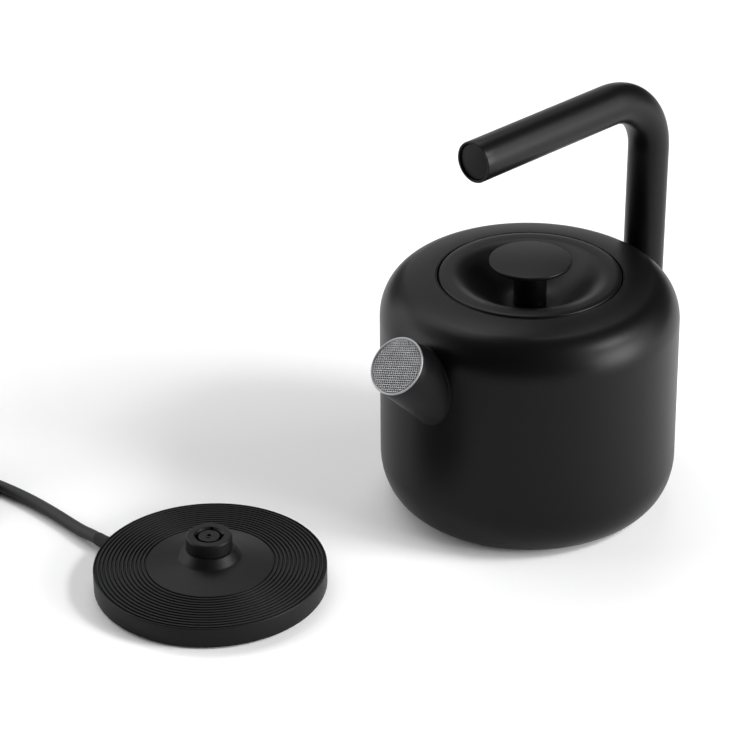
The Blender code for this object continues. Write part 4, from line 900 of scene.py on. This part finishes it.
# %% [markdown]
# ## The handle
# One steel tube makes the post, the bend and the grip. A circle of corners is extruded up the
# post, spun a quarter turn round the centre of the bend, and extruded again along the grip.
# Solidify gives the tube its wall, and a small bevel takes the sharpness off its ends. It is
# made upright, then leaned out by one degree, and its back is trimmed to the pot.

# %% Bend the tube
HANDLE_R = half_width("handle_tube")
HANDLE_WALL = 0.0015
HANDLE_LEAN = math.radians(1.0)
PIVOT = KETTLE + Vector((BODY_R + HANDLE_R + 0.0008, 0, SEAM_Z + 0.0027))
POST_FOOT = 0.0500 - PIVOT.z
BEND_START = SEAM_Z + 0.0490 - PIVOT.z
BEND_R = 0.0390
GRIP_LENGTH = 0.1155


def make_handle():
    clear_selection()
    bpy.ops.mesh.primitive_circle_add(vertices=72, radius=HANDLE_R, location=(0, 0, POST_FOOT))
    tube = bpy.context.object
    tube.name = tube.data.name = "handle_pipe"
    bpy.ops.object.transform_apply(location=True)
    bpy.ops.object.mode_set(mode='EDIT')
    bpy.ops.mesh.select_all(action='SELECT')
    rows = 16
    for row in range(rows):
        step = (BEND_START - POST_FOOT) / rows
        bpy.ops.mesh.extrude_region_move(TRANSFORM_OT_translate={"value": (0, 0, step)})
    bpy.ops.mesh.spin(steps=40, angle=math.pi / 2, center=(-BEND_R, 0, BEND_START),
                      axis=(0, 1, 0))
    for row in range(rows):
        step = GRIP_LENGTH / rows
        bpy.ops.mesh.extrude_region_move(TRANSFORM_OT_translate={"value": (-step, 0, 0)})
    bpy.ops.mesh.select_all(action='SELECT')
    bpy.ops.mesh.remove_doubles(threshold=0.000001)
    bpy.ops.mesh.normals_make_consistent(inside=False)
    bpy.ops.object.mode_set(mode='OBJECT')
    wall = tube.modifiers.new("wall", 'SOLIDIFY')
    wall.thickness = HANDLE_WALL
    wall.offset = -1
    apply_all(tube)
    round_edges(tube, 0.0003)
    settle(tube, PIVOT, (0, HANDLE_LEAN, 0))
    cope = turned("wall_cope", [(0, SEAM_Z), (BODY_R - 0.0001, SEAM_Z), (BODY_R - 0.0001, 0.02),
                                (0, 0.02)], 192, KETTLE)
    boolean(tube, cope)
    smooth(tube)
    return tube


handle_pipe = make_handle()
belongs(handle_pipe, "kettle", POWDER_COAT, "powder_coat", "handle_tube")

# %% Close its ends
def end_cap(name, radius, thick):
    return turned(name, [(0, 0), (radius, 0, 0.0004), (radius, thick), (0, thick)], 72)


tube_bore = HANDLE_R - HANDLE_WALL
tip_cap = end_cap("tip_cap", tube_bore - 0.0003, 0.0025)
settle(tip_cap, (-BEND_R - GRIP_LENGTH + 0.0010, 0, BEND_START + BEND_R), (0, math.pi / 2, 0))
settle(tip_cap, PIVOT, (0, HANDLE_LEAN, 0))
belongs(tip_cap, "kettle", POWDER_COAT, "powder_coat", "handle_end_cap")
foot_cap = end_cap("foot_cap", tube_bore - 0.0013, 0.0025)
settle(foot_cap, (0.0004, 0, POST_FOOT + 0.0002))
settle(foot_cap, PIVOT, (0, HANDLE_LEAN, 0))
belongs(foot_cap, "kettle", POWDER_COAT, "powder_coat", "handle_foot_cap")

# %% [markdown]
# ## The lid
# The lid is a pressed ring with a deep smooth bowl in it, and the knob stands up out of the
# bowl level with the rim. The bowl's side follows an S-curve, flat at the floor and flat at
# the ring, so highlights slide round it without a kink.

# %% Press the lid
LID_R = half_width("lid_dish")
DISH_DEPTH = 0.0181
KNOB_STEM_R = half_width("knob_stem")
DISH_IN = KNOB_STEM_R + 0.0020
DISH_OUT = SEAM_R - 0.0072
RING_FALL = 0.0003
LID_EDGE = 0.0032
SCREW_HOLE_R = 0.0023
crown = SEAM_Z + LID_CROWN


def dish_height(radius):
    share = min(1.0, max(0.0, (radius - DISH_IN) / (DISH_OUT - DISH_IN)))
    floor_z = SEAM_Z - DISH_DEPTH
    return floor_z + (crown - floor_z) * share * share * (3 - 2 * share)


def lid_side(drop, steps):
    """The lid's upper or lower surface, from the screw hole to the ring."""
    points = [(SCREW_HOLE_R, dish_height(0) - drop)]
    for step in range(steps + 1):
        radius = DISH_IN + (LID_R - 0.0030 - DISH_IN) * step / steps
        points.append((radius, dish_height(radius) - drop))
    return points


lid_top = lid_side(0, 34)
lid_under = lid_side(WALL * 1.1, 18)
lid_edge = [(LID_R, crown - RING_FALL, 0.0009), (LID_R, crown - LID_EDGE, 0.0003),
            (LID_R - WALL, crown - LID_EDGE, 0.0003), (LID_R - WALL, crown - 0.0018)]
lid = turned("lid_plate", lid_top + lid_edge + lid_under[::-1] + [lid_top[0]], 192, KETTLE, 4)
belongs(lid, "lid", POWDER_COAT, "powder_coat", "lid_dish")

# %% Pan and gasket under the lid
PAN_R = half_width("lid_pan")
pan_low, pan_high = lowest("lid_pan"), highest("lid_pan")
lid_pan = turned("inner_pan", [
    (0, pan_low + 0.0010), (PAN_R - 0.0010, pan_low + 0.0010, 0.0012), (PAN_R - 0.0010, pan_high),
    (PAN_R, pan_high, 0.0002), (PAN_R, pan_low, 0.0022), (0, pan_low)], 128, KETTLE, 6)
belongs(lid_pan, "lid", STEEL, "bright_steel", "lid_pan")
gasket_low, gasket_high = lowest("lid_gasket"), highest("lid_gasket")
GASKET_R = half_width("lid_gasket")
gasket = turned("seal_ring", [
    (PAN_R + 0.0003, gasket_high), (PAN_R + 0.0018, gasket_high, 0.0004),
    (GASKET_R - 0.0006, gasket_low + 0.0031, 0.0003), (GASKET_R, gasket_low + 0.0024, 0.0003),
    (GASKET_R - 0.0012, gasket_low, 0.0003), (PAN_R + 0.0003, gasket_low),
    (PAN_R + 0.0003, gasket_high)], 128, KETTLE)
belongs(gasket, "lid", SILICONE, "silicone", "lid_gasket")

# %% Knob and stem
KNOB_R = half_width("knob_disc")
knob_low, knob_high = lowest("knob_disc"), highest("knob_disc")
knob = turned("knob_plate", [(0, knob_high), (KNOB_R, knob_high, 0.0006), (KNOB_R, knob_low, 0.0006),
                             (0, knob_low)], 128, KETTLE, 4)
belongs(knob, "lid", POWDER_COAT, "powder_coat", "knob_disc")
stem_low, stem_high = lowest("knob_stem"), highest("knob_stem")
SCREW_DEPTH = 0.0130
stem = turned("knob_post", [(0, stem_high), (KNOB_STEM_R, stem_high, 0.0003),
                            (KNOB_STEM_R, stem_low, 0.0005), (SCREW_HOLE_R, stem_low),
                            (SCREW_HOLE_R, stem_low + SCREW_DEPTH), (0, stem_low + SCREW_DEPTH)],
              96, KETTLE)
belongs(stem, "lid", POWDER_COAT, "powder_coat", "knob_stem")

# %% Seat ring of the opening
ring_top, ring_low = highest("seat_ring"), lowest("seat_ring")
RING_IN = SEAM_R + SEAM_GAP / 2
RING_SHELF = 0.0027
seat_ring = turned("opening_ring", [
    (RING_IN, ring_top, 0.0002), (RING_IN + RING_WALL, ring_top, 0.0002),
    (RING_IN + RING_WALL, ring_low, 0.0006), (RING_IN - RING_SHELF, ring_low, 0.0002),
    (RING_IN - RING_SHELF, ring_low + RING_WALL, 0.0002), (RING_IN, ring_low + RING_WALL, 0.0003),
    (RING_IN, ring_top)], 160, KETTLE)
belongs(seat_ring, "kettle", POWDER_COAT, "powder_coat", "seat_ring")

# %% [markdown]
# ## The power base
# The base is a low moulded disc. From the rim inwards its top rises very slightly through
# thirteen concentric grooves, then a smooth disc swells into a soft crest and a cone round
# the connector. Each groove is a narrow steep-sided hollow between two flat lands. A groove
# that deep stays dark whatever the lamps do, and the lands keep the colour of the disc.

# %% Outline of the top cover
RIM_Z = 0.0135
GROOVES = 13
FIRST_GROOVE, GROOVE_PITCH = 0.0382, 0.002425
GROOVE_HALF, GROOVE_FLOOR_HALF = 0.00068, 0.00034
GROOVE_DEPTH = 0.0010
DISC_Z = 0.0151
COVER_WALL = 0.0022
CREST_R, CREST_Z = 0.0250, 0.0184
CONE_R, CONE_Z = 0.0181, 0.0198
HUB_HOLE_R, HUB_R = 0.0120, 0.0145
cover_low, cover_high = lowest("base_top_cover"), highest("base_top_cover")


def land_height(radius):
    return DISC_Z - (DISC_Z - RIM_Z) * (radius - FIRST_GROOVE) / (BASE_R - FIRST_GROOVE)


def grooved_top():
    points = []
    for number in range(GROOVES):
        centre = FIRST_GROOVE + GROOVE_PITCH * number
        for offset, drop in ((-GROOVE_HALF, 0), (-GROOVE_FLOOR_HALF, GROOVE_DEPTH),
                             (GROOVE_FLOOR_HALF, GROOVE_DEPTH), (GROOVE_HALF, 0)):
            points.append((centre + offset, land_height(centre + offset) - drop))
    return points


cover_outline = [(HUB_HOLE_R, cover_high), (HUB_R, cover_high, 0.0006),
                 (CONE_R, CONE_Z, 0.0012), (CREST_R, CREST_Z, 0.0030)]
cover_outline += grooved_top()
cover_outline += [(BASE_R, RIM_Z, 0.0006), (BASE_R, cover_low, 0.0004),
                  (BASE_R - COVER_WALL, cover_low), (BASE_R - COVER_WALL, RIM_Z - 0.0030),
                  (FIRST_GROOVE, DISC_Z - 0.0030), (CREST_R, CREST_Z - COVER_WALL),
                  (CONE_R - 0.0008, CONE_Z - COVER_WALL), (HUB_HOLE_R, cover_high - COVER_WALL),
                  (HUB_HOLE_R, cover_high)]
print(len(cover_outline), "corners in the cover's outline")

# %% Spin the cover
OUTLET_R = 0.0047
base_cover = turned("grooved_cover", cover_outline, 192, BASE, 4)
outlet = turned("outlet", [(0, 0.01), (OUTLET_R, 0.01), (OUTLET_R, -0.01), (0, -0.01)], 48)
settle(outlet, BASE + Vector((EXIT.x, BASE_R - 0.002, EXIT.z)), (math.pi / 2, 0, 0))
boolean(base_cover, outlet)
smooth(base_cover, 50)
belongs(base_cover, "power_base", MOULDED, "base_plastic", "base_top_cover")

# %% [markdown]
# ## The connector
# The kettle drops onto a barrel with a deep ring slot, and a centre island with a pinhole.
# Both are turned. A sloped lead-in guides the kettle's contacts to the slot, three notches
# widen it, and the barrel's top edge has a small crisp chamfer.

# %% Turn the barrel and its island
BARREL_R = 0.0136
BARREL_TOP = highest("connector_barrel")
SLOT_OUT, SLOT_LIP, SLOT_IN, SLOT_FLOOR = 0.0089, 0.0077, 0.0064, 0.0200
flange_low = lowest("connector_barrel")
barrel = turned("connector_sleeve", [
    (SLOT_OUT, BARREL_TOP, 0.0002), (BARREL_R - 0.0008, BARREL_TOP, 0.0002),
    (BARREL_R, BARREL_TOP - 0.0008, 0.0002), (BARREL_R, cover_high + 0.0003),
    (0.0117, cover_high + 0.0003), (0.0117, flange_low + 0.0020), (0.0155, flange_low + 0.0020),
    (0.0155, flange_low), (SLOT_IN + 0.0003, flange_low), (SLOT_IN + 0.0003, SLOT_FLOOR),
    (SLOT_OUT, SLOT_FLOOR), (SLOT_OUT, BARREL_TOP - 0.0050), (SLOT_LIP, BARREL_TOP - 0.0040),
    (SLOT_LIP, BARREL_TOP - 0.0011, 0.0002), (SLOT_OUT, BARREL_TOP)], 128, BASE, 3)
NOTCH_BEARINGS = (88, -8, -88)
NOTCH_R, NOTCH_FLOOR = 0.0012, 0.0250
for bearing in NOTCH_BEARINGS:
    angle = CAMERA_HEADING + math.radians(bearing)
    place = BASE + Vector((math.cos(angle), math.sin(angle), 0)) * (SLOT_LIP + 0.0001)
    notch = turned("notch", [(0, 0.05), (NOTCH_R, 0.05), (NOTCH_R, NOTCH_FLOOR), (0, NOTCH_FLOOR)], 24)
    settle(notch, place)
    boolean(barrel, notch)
smooth(barrel)
belongs(barrel, "power_base", MOULDED, "base_plastic", "connector_barrel")
core_top = highest("connector_core")
core_low = lowest("connector_core")
island = turned("connector_island", [
    (0, 0.0140), (0.0013, 0.0140), (0.0013, core_top, 0.0002), (0.0025, core_top, 0.0002),
    (0.0027, core_top - 0.0004), (SLOT_IN, core_top - 0.0004, 0.0003), (SLOT_IN, core_low),
    (0, core_low)], 96, BASE)
belongs(island, "power_base", MOULDED, "base_plastic", "connector_core")

# %% [markdown]
# ## Feet and undersides
# What the table hides still shows when the kettle is lifted: soft round feet, the bottom
# cover with its raised middle, and the socket that drops onto the connector.

# %% Feet
FOOT_R = half_width("base_foot_1")
for group, body in (("base", "power_base"), ("kettle", "kettle")):
    for number in (1, 2, 3):
        node = f"{group}_foot_{number}"
        at = middle(node)
        pad = turned(f"{group}_pad_{number}", [(0, 0.0020), (FOOT_R, 0.0020), (FOOT_R, 0, 0.0006),
                                              (FOOT_R - 0.0015, 0, 0.0002), (FOOT_R - 0.0018, 0.0002),
                                              (0, 0.0002)], 64, at)
        belongs(pad, body, RUBBER, "foot_rubber", node)

# %% Finishes of the carried-over nodes
CARRIED = {
    STEEL: ("knob_screw", "heater_plate", "steam_tube", "lever_pin", "bottom_screw_1",
            "bottom_screw_2", "bottom_screw_3", "base_screw_1", "base_screw_2", "base_screw_3"),
    MOULDED: ("base_pan", "kettle_socket", "bottom_cover"),
    INNER: ("control_module", "lever_bracket"),
    BRASS: ("contact_ring", "contact_pin", "socket_blade", "socket_pin", "bimetal_disc",
            "element_pin_1", "element_pin_2"),
    CAST: ("heating_element",),
}
for paint, names in CARRIED.items():
    for name in names:
        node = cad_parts[name]
        node.data.materials.clear()
        node.data.materials.append(paint)
    print(paint.name, "on", len(names), "carried-over nodes")
